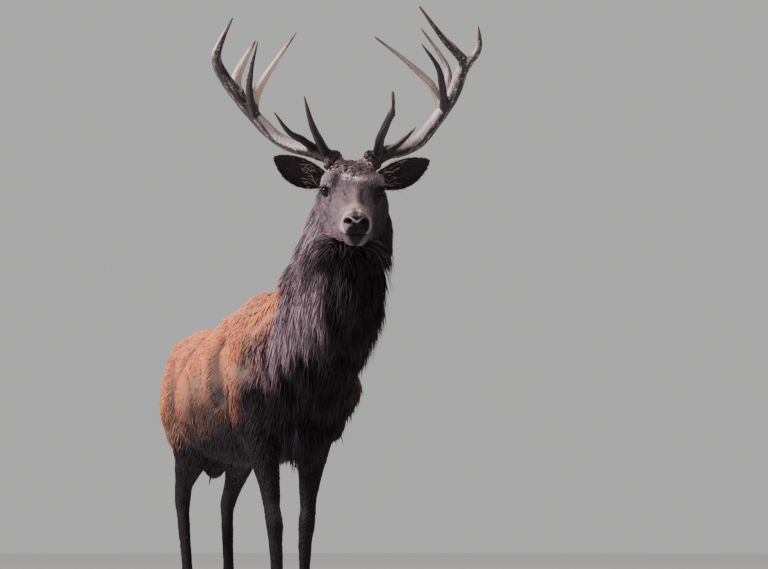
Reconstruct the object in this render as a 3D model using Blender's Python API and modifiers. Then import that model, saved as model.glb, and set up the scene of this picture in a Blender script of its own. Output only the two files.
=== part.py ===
"""A life-size red deer stag, standing, its head turned to look past its right shoulder.

Metres, +Z up. The stag faces -Y, its left side is +X, and its hooves stand on z = 0.
The body is lofted from stations along the trunk, neck, head and legs, fused into one skin,
and parted into nodes with cuts a fraction of a millimetre wide. Antlers, ears, eyes, claws
and tail are pieces of their own, each trimmed to the one it grows from.
"""

import math

import bmesh
import bpy
import numpy as np
from mathutils import Matrix, Vector

# Clearance between neighbouring nodes, and the fineness of the fused body.
GAP = 0.0004
VOXEL = 0.009
SMOOTHING = 6
BODY_TRIANGLES = 3100
HEAD_SHARE = 0.985
# The head, for that share, begins this far along the face and reaches down to this height.
HEAD_ZONE = (0.06, -0.18)

# The head's frame: occiput, turn to the stag's right, and nose below the horizontal.
HEAD_PLACE = Vector((0.078, -0.742, 1.490))
HEAD_TURN = math.radians(-21)
HEAD_NOD = math.radians(27)
HEAD = (Matrix.Translation(HEAD_PLACE)
        @ Matrix.Rotation(HEAD_TURN, 4, "Z")
        @ Matrix.Rotation(HEAD_NOD, 4, "X"))

EYE_RADIUS = 0.0175
EYE_PLACE = (0.0790, 0.166, 0.022)

# How far each foot stands ahead of its plain place: right fore, left fore, right hind, left hind.
REACH = {"R_fore": 0.16, "L_fore": -0.03, "R_hind": 0.19, "L_hind": 0.10}

# Trunk stations: y, top, bottom, half width, height of the widest point.
TRUNK = (
    (-0.640, 0.985, 0.800, 0.060, 0.885),
    (-0.590, 1.070, 0.730, 0.125, 0.885),
    (-0.500, 1.140, 0.665, 0.172, 0.890),
    (-0.390, 1.210, 0.640, 0.192, 0.900),
    (-0.280, 1.208, 0.632, 0.198, 0.900),
    (-0.140, 1.172, 0.632, 0.210, 0.885),
    (0.030, 1.150, 0.645, 0.215, 0.870),
    (0.180, 1.145, 0.668, 0.208, 0.885),
    (0.300, 1.156, 0.696, 0.192, 0.920),
    (0.400, 1.160, 0.745, 0.180, 0.950),
    (0.490, 1.132, 0.820, 0.150, 0.960),
    (0.570, 1.045, 0.880, 0.085, 0.955),
)

# Limb and neck stations: x, y, z, half depth, half width.
NECK = (
    (0.000, -0.420, 0.950, 0.235, 0.172),
    (0.010, -0.560, 1.020, 0.235, 0.152),
    (0.035, -0.665, 1.120, 0.205, 0.166),
    (0.055, -0.725, 1.230, 0.180, 0.146),
    (0.066, -0.752, 1.330, 0.158, 0.128),
    (0.074, -0.755, 1.420, 0.135, 0.113),
    (0.078, -0.745, 1.490, 0.105, 0.096),
)
FORELEG = (
    (0.120, -0.360, 1.060, 0.140, 0.070),
    (0.150, -0.410, 0.920, 0.130, 0.075),
    (0.132, -0.395, 0.770, 0.098, 0.064),
    (0.108, -0.395, 0.660, 0.070, 0.053),
    (0.090, -0.400, 0.540, 0.047, 0.038),
    (0.085, -0.405, 0.455, 0.036, 0.031),
    (0.080, -0.410, 0.400, 0.037, 0.033),
    (0.078, -0.405, 0.345, 0.028, 0.026),
    (0.077, -0.405, 0.260, 0.023, 0.021),
    (0.077, -0.405, 0.180, 0.024, 0.022),
    (0.077, -0.407, 0.128, 0.032, 0.029),
    (0.078, -0.428, 0.085, 0.026, 0.026),
    (0.078, -0.445, 0.050, 0.030, 0.029),
)
HINDLEG = (
    (0.105, 0.390, 0.980, 0.180, 0.078),
    (0.118, 0.370, 0.870, 0.172, 0.080),
    (0.108, 0.345, 0.755, 0.134, 0.082),
    (0.102, 0.385, 0.655, 0.088, 0.060),
    (0.106, 0.455, 0.570, 0.054, 0.037),
    (0.099, 0.508, 0.495, 0.049, 0.032),
    (0.096, 0.512, 0.420, 0.033, 0.025),
    (0.094, 0.502, 0.305, 0.026, 0.022),
    (0.093, 0.490, 0.190, 0.026, 0.023),
    (0.093, 0.483, 0.138, 0.034, 0.030),
    (0.093, 0.460, 0.090, 0.026, 0.026),
    (0.093, 0.440, 0.050, 0.030, 0.029),
)
TAIL = (
    (0.000, 0.545, 1.045, 0.028, 0.034),
    (0.000, 0.590, 1.015, 0.026, 0.034),
    (0.000, 0.610, 0.965, 0.022, 0.030),
    (0.000, 0.615, 0.910, 0.016, 0.022),
    (0.000, 0.612, 0.875, 0.006, 0.008),
)

# Head stations in the head's frame: distance along the face, top, bottom, half width.
SKULL = (
    (-0.010, 0.058, -0.110, 0.065),
    (0.040, 0.088, -0.130, 0.085),
    (0.090, 0.091, -0.140, 0.094),
    (0.140, 0.074, -0.138, 0.094),
    (0.190, 0.056, -0.122, 0.082),
    (0.240, 0.044, -0.108, 0.064),
    (0.290, 0.036, -0.100, 0.053),
    (0.340, 0.032, -0.098, 0.047),
    (0.380, 0.030, -0.099, 0.047),
    (0.412, 0.020, -0.088, 0.042),
    (0.428, 0.002, -0.056, 0.028),
)

# Swellings that the stations miss, on the left side and mirrored on the right: place, radii.
HEAD_LUMPS = (
    ((0.064, 0.138, 0.050), (0.027, 0.036, 0.024)),
    ((0.070, 0.160, 0.022), (0.023, 0.038, 0.032)),
    ((0.062, 0.095, -0.070), (0.030, 0.060, 0.048)),
)
BODY_LUMPS = (
    ((0.112, -0.300, 1.000), (0.075, 0.120, 0.130)),
    ((0.152, -0.450, 0.868), (0.074, 0.100, 0.110)),
    ((0.100, 0.290, 1.010), (0.085, 0.120, 0.110)),
    ((0.078, 0.510, 0.960), (0.065, 0.085, 0.120)),
)
# The swelling in the middle of the chest: place, radii.
BRISKET = ((0.0, -0.520, 0.760), (0.090, 0.110, 0.110))

# Pedicles in the head's frame: from the skull to the seat of the burr, and on past it.
PEDICLE = ((0.034, 0.078, 0.066), (0.055, 0.070, 0.092), (0.065, 0.066, 0.104))
PEDICLE_RADIUS = 0.024
SEAT_SIZE = 0.036

# Antler paths in the head's frame: left, forward, up; then the radii along them.
RIGHT_BEAM = (
    (-0.055, 0.070, 0.092), (-0.079, 0.060, 0.110), (-0.127, 0.034, 0.122), (-0.190, 0.000, 0.130),
    (-0.250, -0.028, 0.155), (-0.316, -0.040, 0.220), (-0.365, -0.032, 0.280),
    (-0.417, -0.010, 0.355), (-0.434, 0.010, 0.410), (-0.420, 0.030, 0.460), (-0.383, 0.060, 0.540),
)
LEFT_BEAM = (
    (0.055, 0.070, 0.092), (0.079, 0.060, 0.110), (0.118, 0.034, 0.122), (0.172, 0.000, 0.127),
    (0.222, -0.022, 0.150), (0.262, -0.038, 0.196), (0.299, -0.040, 0.250), (0.330, -0.032, 0.312),
    (0.348, -0.018, 0.375), (0.353, -0.005, 0.412), (0.323, 0.015, 0.447), (0.269, 0.040, 0.502),
    (0.195, 0.080, 0.593),
)
RIGHT_TINES = {
    "brow": ((-0.080, 0.060, 0.112), (-0.108, 0.115, 0.172), (-0.135, 0.160, 0.236),
             (-0.160, 0.200, 0.328)),
    "bez": ((-0.112, 0.038, 0.122), (-0.156, 0.090, 0.165), (-0.205, 0.125, 0.200),
            (-0.251, 0.155, 0.267)),
    "trez": ((-0.310, -0.040, 0.215), (-0.326, 0.000, 0.270), (-0.330, 0.030, 0.325),
             (-0.322, 0.065, 0.395), (-0.303, 0.100, 0.478)),
    "inner": ((-0.325, -0.040, 0.232), (-0.310, -0.052, 0.285), (-0.278, -0.050, 0.345),
              (-0.184, -0.035, 0.488)),
    "rear": ((-0.368, -0.030, 0.285), (-0.374, -0.060, 0.330), (-0.350, -0.080, 0.385),
             (-0.313, -0.100, 0.451)),
}
LEFT_TINES = {
    "brow": ((0.082, 0.060, 0.112), (0.084, 0.115, 0.178), (0.101, 0.160, 0.242),
             (0.115, 0.192, 0.292), (0.111, 0.207, 0.350)),
    "bez": ((0.110, 0.038, 0.122), (0.152, 0.085, 0.165), (0.195, 0.130, 0.224)),
    "front": ((0.302, -0.038, 0.250), (0.285, 0.015, 0.335), (0.262, 0.055, 0.405),
              (0.204, 0.100, 0.481)),
    "middle": ((0.318, -0.036, 0.280), (0.313, -0.060, 0.340), (0.300, -0.082, 0.400),
               (0.219, -0.100, 0.506)),
    "inner": ((0.298, -0.040, 0.245), (0.262, -0.050, 0.320), (0.215, -0.055, 0.367),
              (0.150, -0.050, 0.420), (0.065, -0.035, 0.482)),
    "hook": ((0.353, -0.012, 0.388), (0.373, 0.002, 0.418), (0.391, 0.015, 0.447),
             (0.396, 0.030, 0.482), (0.386, 0.050, 0.535)),
}
TINE_RADII = {
    "brow": (0.0170, 0.0040), "bez": (0.0140, 0.0035), "trez": (0.0150, 0.0040),
    "inner": (0.0185, 0.0045), "rear": (0.0140, 0.0040), "front": (0.0140, 0.0035),
    "middle": (0.0150, 0.0040), "hook": (0.0150, 0.0040),
}
BEAM_SHARES = (0.0, 0.045, 0.090, 0.300, 0.620, 1.000)
BEAM_RADII = (0.0330, 0.0330, 0.0240, 0.0220, 0.0220, 0.0050)
TIP_BLUNT = 0.75
# Steps of the curve's bevel: a beam has eight sides, a tine six.
BEAM_SIDES = 2
TINE_SIDES = 1
# Share of each beam's length below its middle fork, where the beam is parted.
FORK_SHARE = {"R": 0.52, "L": 0.50}

# Ears in the head's frame, for the left side.
EAR_ROOT = Vector((0.070, 0.022, 0.016))
EAR_TIP = Vector((0.246, 0.060, 0.102))
EAR_FRONT = Vector((0.15, 1, 0))
EAR_SAG = 0.010
EAR_WIDTH = 0.046
EAR_CUP = 0.026
EAR_THICKNESS = 0.006
EAR_STATIONS = 9
EAR_ARC = 5
# Where along the half wave of the ear's width its root and tip lie, and how full the wave is.
EAR_WAVE = (0.090, 0.895, 1.2, 0.75)
EAR_FLATTENING = 0.35
# How much narrower and shallower the inside of the cup is than its outside.
EAR_INSIDE = (0.93, 0.92)

# Claws: half length, half width and distance from the foot's middle, at the sole and coronet.
CLAW_TOP = 0.050
CLAW_SOLE = (0.0420, 0.0160, 0.0175)
CLAW_CORONET = (0.0270, 0.0145, 0.0158)
CLAW_LEAN = 0.020
CLAW_CORNERS = 10
# A dewclaw's radii, and its place from the fetlock: to the side, back and up.
DEWCLAW = (0.009, 0.011, 0.015)
DEWCLAW_PLACE = (0.016, 0.019, -0.026)

# Cutting blocks, by their corners.
HEAD_BLOCK = tuple((w, u, v) for w in (-0.3, 0.3)
                   for u, v in ((-0.095, 0.240), (0.045, -0.170), (0.550, -0.130), (0.550, 0.260)))
NECK_BLOCK = tuple((x, y, z) for x in (-0.6, 0.6)
                   for y, z in ((-0.270, 1.262), (-0.680, 0.843), (-1.600, 0.843), (-1.600, 2.0),
                                (-0.270, 2.0)))
FORE_BLOCK = tuple((x, y, z) for y in (-0.680, -0.262)
                   for x, z in ((0.020, -0.1), (0.020, 0.600), (0.080, 0.650), (0.320, 0.850),
                                (0.500, 0.850), (0.500, -0.1)))
HIND_BLOCK = tuple((x, y, z) for x, z, front in ((0.0005, -0.1, 0.1), (0.0005, 0.740, 0.25),
                                                 (0.300, 0.960, 0.25), (0.500, -0.1, 0.1))
                   for y in (front, 0.900))
KNEE_CUT = 0.350
HOCK_CUT = 0.430

MATERIALS = {
    "coat_red": ((0.300, 0.110, 0.040), 0.80),
    "coat_dark": ((0.060, 0.040, 0.032), 0.85),
    "mane": ((0.110, 0.080, 0.065), 0.85),
    "face": ((0.160, 0.120, 0.095), 0.80),
    "ear_hair": ((0.070, 0.052, 0.048), 0.85),
    "antler_brown": ((0.110, 0.070, 0.045), 0.55),
    "eye_dark": ((0.010, 0.006, 0.004), 0.08),
    "hoof_horn": ((0.025, 0.020, 0.018), 0.45),
}

PARTS = None
CUTTERS = None


# ---------------------------------------------------------------- scene and mesh helpers

def clear_scene():
    """Remove what the scene holds and make the two collections."""
    global PARTS, CUTTERS
    for item in list(bpy.data.objects):
        bpy.data.objects.remove(item)
    PARTS = bpy.data.collections.new("red_deer_stag")
    CUTTERS = bpy.data.collections.new("cutters")
    for collection in (PARTS, CUTTERS):
        bpy.context.scene.collection.children.link(collection)


def from_bmesh(name, bm):
    """A new part object holding the bmesh in triangles; the bmesh is freed."""
    bmesh.ops.triangulate(bm, faces=bm.faces)
    bmesh.ops.recalc_face_normals(bm, faces=bm.faces)
    mesh = bpy.data.meshes.new(name)
    bm.to_mesh(mesh)
    bm.free()
    item = bpy.data.objects.new(name, mesh)
    PARTS.objects.link(item)
    return item


def bake(item):
    """Replace the object's mesh with what its modifiers or curve settings give."""
    depsgraph = bpy.context.evaluated_depsgraph_get()
    mesh = bpy.data.meshes.new_from_object(item.evaluated_get(depsgraph))
    item.modifiers.clear()
    if item.type == "MESH":
        item.data = mesh
        return item
    name, matrix = item.name, item.matrix_world.copy()
    bpy.data.objects.remove(item)
    result = bpy.data.objects.new(name, mesh)
    result.matrix_world = matrix
    PARTS.objects.link(result)
    weld(result)
    return result


def weld(item, distance=0.00001):
    """Merge doubled vertices, drop faces without area and leave only triangles."""
    bm = bmesh.new()
    bm.from_mesh(item.data)
    bmesh.ops.remove_doubles(bm, verts=bm.verts, dist=distance)
    bmesh.ops.dissolve_degenerate(bm, edges=bm.edges, dist=distance)
    bmesh.ops.triangulate(bm, faces=bm.faces)
    bmesh.ops.recalc_face_normals(bm, faces=bm.faces)
    bm.to_mesh(item.data)
    bm.free()


def duplicate(item, name):
    """A copy of the object with a mesh of its own."""
    result = item.copy()
    result.data = item.data.copy()
    result.name = name
    PARTS.objects.link(result)
    return result


def grown(item, distance):
    """A copy of the object with every vertex pushed out along its normal."""
    result = duplicate(item, item.name + "_grown")
    bm = bmesh.new()
    bm.from_mesh(result.data)
    bm.normal_update()
    shifts = [(vert, vert.normal.copy()) for vert in bm.verts]
    for vert, normal in shifts:
        vert.co += normal * distance * min(vert.calc_shell_factor(), 2.0)
    bm.to_mesh(result.data)
    bm.free()
    return result


def boolean(item, cutter, operation):
    """Apply one exact Boolean and keep its largest body."""
    modifier = item.modifiers.new(operation.lower(), "BOOLEAN")
    modifier.operation = operation
    modifier.solver = "EXACT"
    modifier.object = cutter
    bake(item)
    weld(item)
    keep_largest(item)


def keep_largest(item):
    """Drop crumbs: only the body with the most faces stays."""
    bm = bmesh.new()
    bm.from_mesh(item.data)
    left = set(bm.verts)
    bodies = []
    while left:
        body = {left.pop()}
        edge = list(body)
        while edge:
            near = {link.other_vert(vert) for vert in edge for link in vert.link_edges}
            edge = list(near - body)
            body |= near
        left -= body
        bodies.append(body)
    bodies.sort(key=len)
    crumbs = [vert for body in bodies[:-1] for vert in body]
    bmesh.ops.delete(bm, geom=crumbs, context="VERTS")
    bm.to_mesh(item.data)
    bm.free()


def discard(item):
    """Put a used cutter away in the cutters' collection."""
    PARTS.objects.unlink(item)
    CUTTERS.objects.link(item)
    item.hide_render = True
    item.display_type = "WIRE"


def subtract(item, cutter):
    """Take a cutter away from the object and put the cutter away."""
    boolean(item, cutter, "DIFFERENCE")
    discard(cutter)


def finish(item, name, material, smooth=True):
    """Name the node, colour it and shade it."""
    colour, roughness = MATERIALS[material]
    item.name = name
    item.data.name = name
    surface = bpy.data.materials.get(material)
    if surface is None:
        surface = bpy.data.materials.new(material)
        surface.use_nodes = True
        shader = surface.node_tree.nodes["Principled BSDF"]
        shader.inputs["Base Color"].default_value = (*colour, 1.0)
        shader.inputs["Roughness"].default_value = roughness
        shader.inputs["Metallic"].default_value = 0.0
    item.data.materials.clear()
    item.data.materials.append(surface)
    for polygon in item.data.polygons:
        polygon.use_smooth = smooth
    return item


# ---------------------------------------------------------------- shapes

def through(rows, steps):
    """The rows' numbers resampled along a smooth curve through them."""
    points = np.array(rows, float)
    ends = np.vstack((2 * points[0] - points[1], points, 2 * points[-1] - points[-2]))
    result = []
    for index in range(len(points) - 1):
        a, b, c, d = ends[index:index + 4]
        for t in np.arange(steps) / steps:
            slope = (c - a) * t
            bend = (2 * a - 5 * b + 4 * c - d) * t ** 2
            twist = (3 * b - a - 3 * c + d) * t ** 3
            result.append(0.5 * (2 * b + slope + bend + twist))
    result.append(points[-1])
    return np.array(result)


def ring(centre, side, up, width, above, below, power=2.2, count=28):
    """A rounded outline about a centre, with its own rise above and drop below."""
    points = []
    for angle in np.arange(count) * 2 * math.pi / count:
        cosine, sine = math.cos(angle), math.sin(angle)
        across = math.copysign(abs(cosine) ** (2 / power), cosine) * width
        rise = math.copysign(abs(sine) ** (2 / power), sine) * (above if sine > 0 else below)
        points.append(centre + side * across + up * rise)
    return points


def loft(name, rings):
    """A closed body over rings of equal count, with a flat face at each end."""
    bm = bmesh.new()
    loops = [[bm.verts.new(point) for point in points] for points in rings]
    for lower, upper in zip(loops, loops[1:]):
        for index in range(len(lower)):
            after = (index + 1) % len(lower)
            bm.faces.new((lower[index], lower[after], upper[after], upper[index]))
    bm.faces.new(loops[0])
    bm.faces.new(loops[-1])
    return from_bmesh(name, bm)


def barrel(name, rows):
    """The trunk: upright rings along the stag's length."""
    side, up = Vector((1, 0, 0)), Vector((0, 0, 1))
    rings = []
    for y, top, bottom, width, middle in through(rows, 4):
        rings.append(ring(Vector((0, y, middle)), side, up, width, top - middle, middle - bottom))
    return loft(name, rings)


def limb(name, rows, count=20, steps=4):
    """A neck, leg or tail: rings square to the path through the stations."""
    stations = through(rows, steps)
    paths = [Vector(station[:3]) for station in stations]
    rings = []
    for index, station in enumerate(stations):
        before = paths[max(index - 1, 0)]
        after = paths[min(index + 1, len(paths) - 1)]
        along = (after - before).normalized()
        side = (Vector((1, 0, 0)) - along * along.x).normalized()
        depth = along.cross(side)
        half_depth, half_width = station[3:]
        rings.append(ring(paths[index], side, depth, half_width, half_depth, half_depth,
                          count=count))
    return loft(name, rings)


def lump(name, centre, radii):
    """An ellipsoid."""
    bm = bmesh.new()
    place = Matrix.Translation(centre) @ Matrix.Diagonal((*radii, 1.0))
    bmesh.ops.create_icosphere(bm, subdivisions=3, radius=1.0, matrix=place)
    return from_bmesh(name, bm)


def block(name, corners, grow=0.0):
    """The convex block that spans the corners, grown by a clearance on every side."""
    bm = bmesh.new()
    for corner in corners:
        if grow == 0.0:
            bm.verts.new(corner)
            continue
        for shift in ((x, y, z) for x in (-grow, grow) for y in (-grow, grow) for z in (-grow, grow)):
            bm.verts.new(Vector(corner) + Vector(shift))
    hull = bmesh.ops.convex_hull(bm, input=bm.verts)
    spare = [part for part in hull["geom_interior"] if isinstance(part, bmesh.types.BMVert)]
    bmesh.ops.delete(bm, geom=spare, context="VERTS")
    bmesh.ops.dissolve_limit(bm, angle_limit=0.001, verts=bm.verts, edges=bm.edges)
    return from_bmesh(name, bm)


def rod(name, points, radii, sides_level):
    """A tapering rod along a smooth path, made from a bevelled curve."""
    curve = bpy.data.curves.new(name, "CURVE")
    curve.dimensions = "3D"
    curve.bevel_depth = 1.0
    curve.bevel_resolution = sides_level
    curve.use_fill_caps = True
    spline = curve.splines.new("POLY")
    spline.points.add(len(points) - 1)
    for slot, point, radius in zip(spline.points, points, radii):
        slot.co = (*point, 1.0)
        slot.radius = radius
    item = bpy.data.objects.new(name, curve)
    PARTS.objects.link(item)
    return bake(item)


def in_head(place):
    """A place given as left, forward and up in the head's frame, in the stag's frame."""
    return HEAD @ Vector((place[0], -place[1], place[2]))


def mirrored(place, side):
    """The place on the side asked for: +1 left, -1 right."""
    return (place[0] * side, *place[1:])


# ---------------------------------------------------------------- the fused body

def leg_rows(rows, side, reach):
    """A leg's stations on its side, with the foot set forward by its reach."""
    top = rows[0][2]
    return [(x * side, y - reach * (1 - z / top), z, depth, width) for x, y, z, depth, width in rows]


def head_shapes():
    """The skull's loft and its swellings, in the stag's frame."""
    turn = HEAD.to_3x3()
    side, up = turn @ Vector((1, 0, 0)), turn @ Vector((0, 0, 1))
    rings = []
    for along, top, bottom, width in through(SKULL, 4):
        middle = 0.5 * (top + bottom)
        half = 0.5 * (top - bottom)
        rings.append(ring(in_head((0, along, middle)), side, up, width, half, half))
    shapes = [loft("skull", rings)]
    for place, radii in HEAD_LUMPS:
        for hand in (-1, 1):
            shape = lump("head_lump", (place[0] * hand, -place[1], place[2]), radii)
            shape.data.transform(HEAD)
            shapes.append(shape)
    for hand in (-1, 1):
        rows = [(*in_head(mirrored(place, hand)), PEDICLE_RADIUS, PEDICLE_RADIUS) for place in PEDICLE]
        shapes.append(limb("pedicle", rows))
    return shapes


def body_shapes():
    """Every loft and swelling that the body is fused from."""
    shapes = [barrel("barrel", TRUNK), limb("neck_core", NECK, count=28)]
    shapes += head_shapes()
    for side, letter in ((-1, "R"), (1, "L")):
        shapes.append(limb("foreleg", leg_rows(FORELEG, side, REACH[letter + "_fore"])))
        shapes.append(limb("hindleg", leg_rows(HINDLEG, side, REACH[letter + "_hind"])))
        for place, radii in BODY_LUMPS:
            shapes.append(lump("body_lump", mirrored(place, side), radii))
    shapes.append(lump("brisket", *BRISKET))
    return shapes


def fused_body():
    """One closed skin over all the shapes, thinned to the body's share of triangles."""
    bm = bmesh.new()
    for shape in body_shapes():
        bm.from_mesh(shape.data)
        bpy.data.objects.remove(shape)
    body = from_bmesh("body", bm)
    remesh = body.modifiers.new("fuse", "REMESH")
    remesh.mode = "VOXEL"
    remesh.voxel_size = VOXEL
    smooth = body.modifiers.new("smooth", "SMOOTH")
    smooth.factor = 0.5
    smooth.iterations = SMOOTHING
    bake(body)
    keep_largest(body)

    # The head keeps more of its faces than the rest.
    group = body.vertex_groups.new(name="thin")
    into_head = HEAD.inverted()
    for vert in body.data.vertices:
        place = into_head @ vert.co
        on_head = -place.y > HEAD_ZONE[0] and place.z > HEAD_ZONE[1]
        group.add([vert.index], HEAD_SHARE if on_head else 1.0, "REPLACE")
    count = sum(len(polygon.vertices) - 2 for polygon in body.data.polygons)
    thin = body.modifiers.new("thin", "DECIMATE")
    thin.ratio = BODY_TRIANGLES / count
    thin.vertex_group = "thin"
    thin.vertex_group_factor = 1.0
    bake(body)
    body.vertex_groups.clear()
    weld(body)
    return body


# ---------------------------------------------------------------- parting the body

def part_off(body, name, corners):
    """Cut the corners' block out of the body and return the piece inside it."""
    piece = duplicate(body, name)
    cutter = block(name + "_cut", corners)
    boolean(piece, cutter, "INTERSECT")
    discard(cutter)
    subtract(body, block(name + "_gap", corners, GAP))
    return piece


def part_body(body):
    """The body's nodes: head, neck, trunk and four legs in two lengths."""
    nodes = {}
    head_corners = [in_head(corner) for corner in HEAD_BLOCK]
    nodes["head"] = part_off(body, "head", head_corners)
    nodes["neck"] = part_off(body, "neck", NECK_BLOCK)
    for side, letter in ((-1, "R"), (1, "L")):
        for limb_name, corners, cut in (("fore", FORE_BLOCK, KNEE_CUT), ("hind", HIND_BLOCK, HOCK_CUT)):
            name = letter + "_" + limb_name
            leg = part_off(body, name, [mirrored(corner, side) for corner in corners])
            below = [(x, y, z) for x in (-1, 1) for y in (-1, 1) for z in (-1, cut)]
            nodes[name + "leg_lower"] = part_off(leg, name + "_lower", below)
            nodes[name + "leg_upper"] = leg
    nodes["trunk"] = body
    return nodes


# ---------------------------------------------------------------- feet, ears, eyes, tail

def claw_corners(centre, side):
    """The corners of one claw: a flat sole, and a smaller coronet set back above it."""
    corners = []
    for height, lean, sizes in ((0.0, 0.0, CLAW_SOLE), (CLAW_TOP, CLAW_LEAN, CLAW_CORONET)):
        length, width, spacing = sizes
        for angle in np.arange(CLAW_CORNERS) * 2 * math.pi / CLAW_CORNERS:
            across = spacing * side + width * math.cos(angle)
            along = lean + length * math.sin(angle)
            corners.append((centre[0] + across, centre[1] + along, height))
    return corners


def feet(nodes):
    """Two claws and two dewclaws at each foot, let into the leg above them."""
    for side, letter in ((-1, "R"), (1, "L")):
        for limb_name, rows in (("fore", FORELEG), ("hind", HINDLEG)):
            key = letter + "_" + limb_name
            stations = leg_rows(rows, side, REACH[key])
            leg = nodes[key + "leg_lower"]
            coronet, fetlock = stations[-1], stations[-3]
            centre = (coronet[0], coronet[1] - CLAW_LEAN, 0.0)
            for claw_side, claw_name in ((-1, "right"), (1, "left")):
                name = key + "_claw_" + claw_name
                corners = claw_corners(centre, claw_side)
                subtract(leg, block(name + "_gap", corners, GAP))
                nodes[name] = block(name, corners)
                spur = key + "_dewclaw_" + claw_name
                place = Vector(fetlock[:3]) + Vector(mirrored(DEWCLAW_PLACE, claw_side))
                nodes[spur] = dewclaw(spur, place)
                subtract(leg, grown(nodes[spur], GAP))


def dewclaw(name, place):
    """A small rounded knob behind the fetlock."""
    bm = bmesh.new()
    bmesh.ops.create_icosphere(bm, subdivisions=1, radius=1.0,
                               matrix=Matrix.Translation(place) @ Matrix.Diagonal((*DEWCLAW, 1.0)))
    return from_bmesh(name, bm)


def ear(name, side):
    """A leaf-shaped cup, open to the front, from its root in the head to its tip."""
    along = EAR_TIP - EAR_ROOT
    across = Vector((-along.z, 0, along.x)).normalized()
    front = EAR_FRONT.normalized()
    start, span, lag, fullness = EAR_WAVE
    rings = []
    for share in np.arange(EAR_STATIONS) / (EAR_STATIONS - 1):
        swell = math.sin(math.pi * (start + span * share ** lag)) ** fullness
        half = EAR_WIDTH * swell
        cup = EAR_CUP * swell * (1 - EAR_FLATTENING * share)
        centre = EAR_ROOT + along * share - across * EAR_SAG * math.sin(math.pi * share)
        outer, inner = [], []
        for turn in (np.arange(EAR_ARC) / (EAR_ARC - 1) - 0.5) * math.pi:
            edge = across * half * math.sin(turn)
            depth = cup * math.cos(turn)
            outer.append(centre + edge - front * (depth + EAR_THICKNESS * 0.5))
            inner.append(centre + edge * EAR_INSIDE[0]
                         - front * (depth * EAR_INSIDE[1] - EAR_THICKNESS * 0.5))
        rings.append([in_head(mirrored(point, side)) for point in outer + inner[::-1]])
    return loft(name, rings)


def head_fittings(nodes, skin):
    """Ears trimmed to the body's skin, and eyes in their sockets."""
    for side, letter in ((-1, "R"), (1, "L")):
        nodes[letter + "_ear"] = ear(letter + "_ear", side)
        boolean(nodes[letter + "_ear"], skin, "DIFFERENCE")
        bm = bmesh.new()
        place = Matrix.Translation(in_head(mirrored(EYE_PLACE, side)))
        bmesh.ops.create_uvsphere(bm, u_segments=12, v_segments=8, radius=EYE_RADIUS, matrix=place)
        nodes[letter + "_eye"] = from_bmesh(letter + "_eye", bm)
        subtract(nodes["head"], grown(nodes[letter + "_eye"], GAP))


# ---------------------------------------------------------------- antlers

def taper(count, start, end):
    """Radii that stay stout along the tine and close in towards its tip."""
    share = np.linspace(0, 1, count)
    return end + (start - end) * (1 - share ** 1.6) ** TIP_BLUNT


def beam_path(rows):
    """The beam's points in the stag's frame and its radii."""
    stations = through(rows, 2)
    points = [in_head(row) for row in stations]
    share = np.linspace(0, 1, len(points))
    radii = np.interp(share, BEAM_SHARES, BEAM_RADII)
    return points, list(radii)


def level_pedicle(head, path):
    """Cut the pedicle flat where the burr sits on it."""
    outward = (path[1] - path[0]).normalized()
    across = outward.orthogonal().normalized()
    third = outward.cross(across)
    corners = [path[0] + across * a + third * b + outward * c
               for a in (-SEAT_SIZE, SEAT_SIZE) for b in (-SEAT_SIZE, SEAT_SIZE)
               for c in (-GAP, SEAT_SIZE)]
    subtract(head, block("pedicle_level", corners))


def antler(nodes, letter, beam_rows, tines):
    """One antler: burr and lower beam, upper beam, and each tine seated on them."""
    points, radii = beam_path(beam_rows)
    level_pedicle(nodes["head"], points)
    fork = round(FORK_SHARE[letter] * (len(points) - 1))
    name = letter + "_antler_"
    lower = rod(name + "beam_lower", points[:fork + 1], radii[:fork + 1], BEAM_SIDES)
    upper = rod(name + "beam_upper", points[fork:], radii[fork:], BEAM_SIDES)
    hosts = [grown(lower, GAP), grown(upper, GAP)]
    boolean(upper, hosts[0], "DIFFERENCE")
    nodes[name + "beam_lower"] = lower
    nodes[name + "beam_upper"] = upper
    for tine, rows in tines.items():
        path = [in_head(row) for row in through(rows, 2)]
        piece = rod(name + tine, path, taper(len(path), *TINE_RADII[tine]), TINE_SIDES)
        outer = grown(piece, GAP)
        for host in hosts:
            boolean(piece, host, "DIFFERENCE")
        hosts.append(outer)
        nodes[name + tine] = piece
    for host in hosts:
        discard(host)


# ---------------------------------------------------------------- assembly

def material_of(name):
    """The material each node wears, by its name."""
    if "antler" in name:
        return "antler_brown"
    if "claw" in name:
        return "hoof_horn"
    for word, material in (("eye", "eye_dark"), ("ear", "ear_hair"), ("head", "face"),
                           ("neck", "mane"), ("leg", "coat_dark")):
        if word in name:
            return material
    return "coat_red"


def centre_parts():
    """Bring the whole to the middle of its plan, still standing on z = 0."""
    corners = [vert.co for item in PARTS.objects for vert in item.data.vertices]
    low = Vector(map(min, *corners))
    high = Vector(map(max, *corners))
    shift = Matrix.Translation((-(low.x + high.x) / 2, -(low.y + high.y) / 2, 0))
    for item in PARTS.objects:
        item.data.transform(shift)


def main():
    """Build the stag."""
    clear_scene()
    body = fused_body()
    skin = grown(body, GAP)
    nodes = part_body(body)
    nodes["tail"] = limb("tail", TAIL, count=8, steps=2)
    boolean(nodes["tail"], skin, "DIFFERENCE")
    head_fittings(nodes, skin)
    discard(skin)
    antler(nodes, "R", RIGHT_BEAM, RIGHT_TINES)
    antler(nodes, "L", LEFT_BEAM, LEFT_TINES)
    feet(nodes)
    for name, item in nodes.items():
        finish(item, name, material_of(name), smooth="claw" not in name)
    centre_parts()


main()
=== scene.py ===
import math
from functools import reduce

import bpy
import numpy as np
from mathutils import Matrix, Vector
from mathutils.bvhtree import BVHTree
from mathutils.kdtree import KDTree


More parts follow.
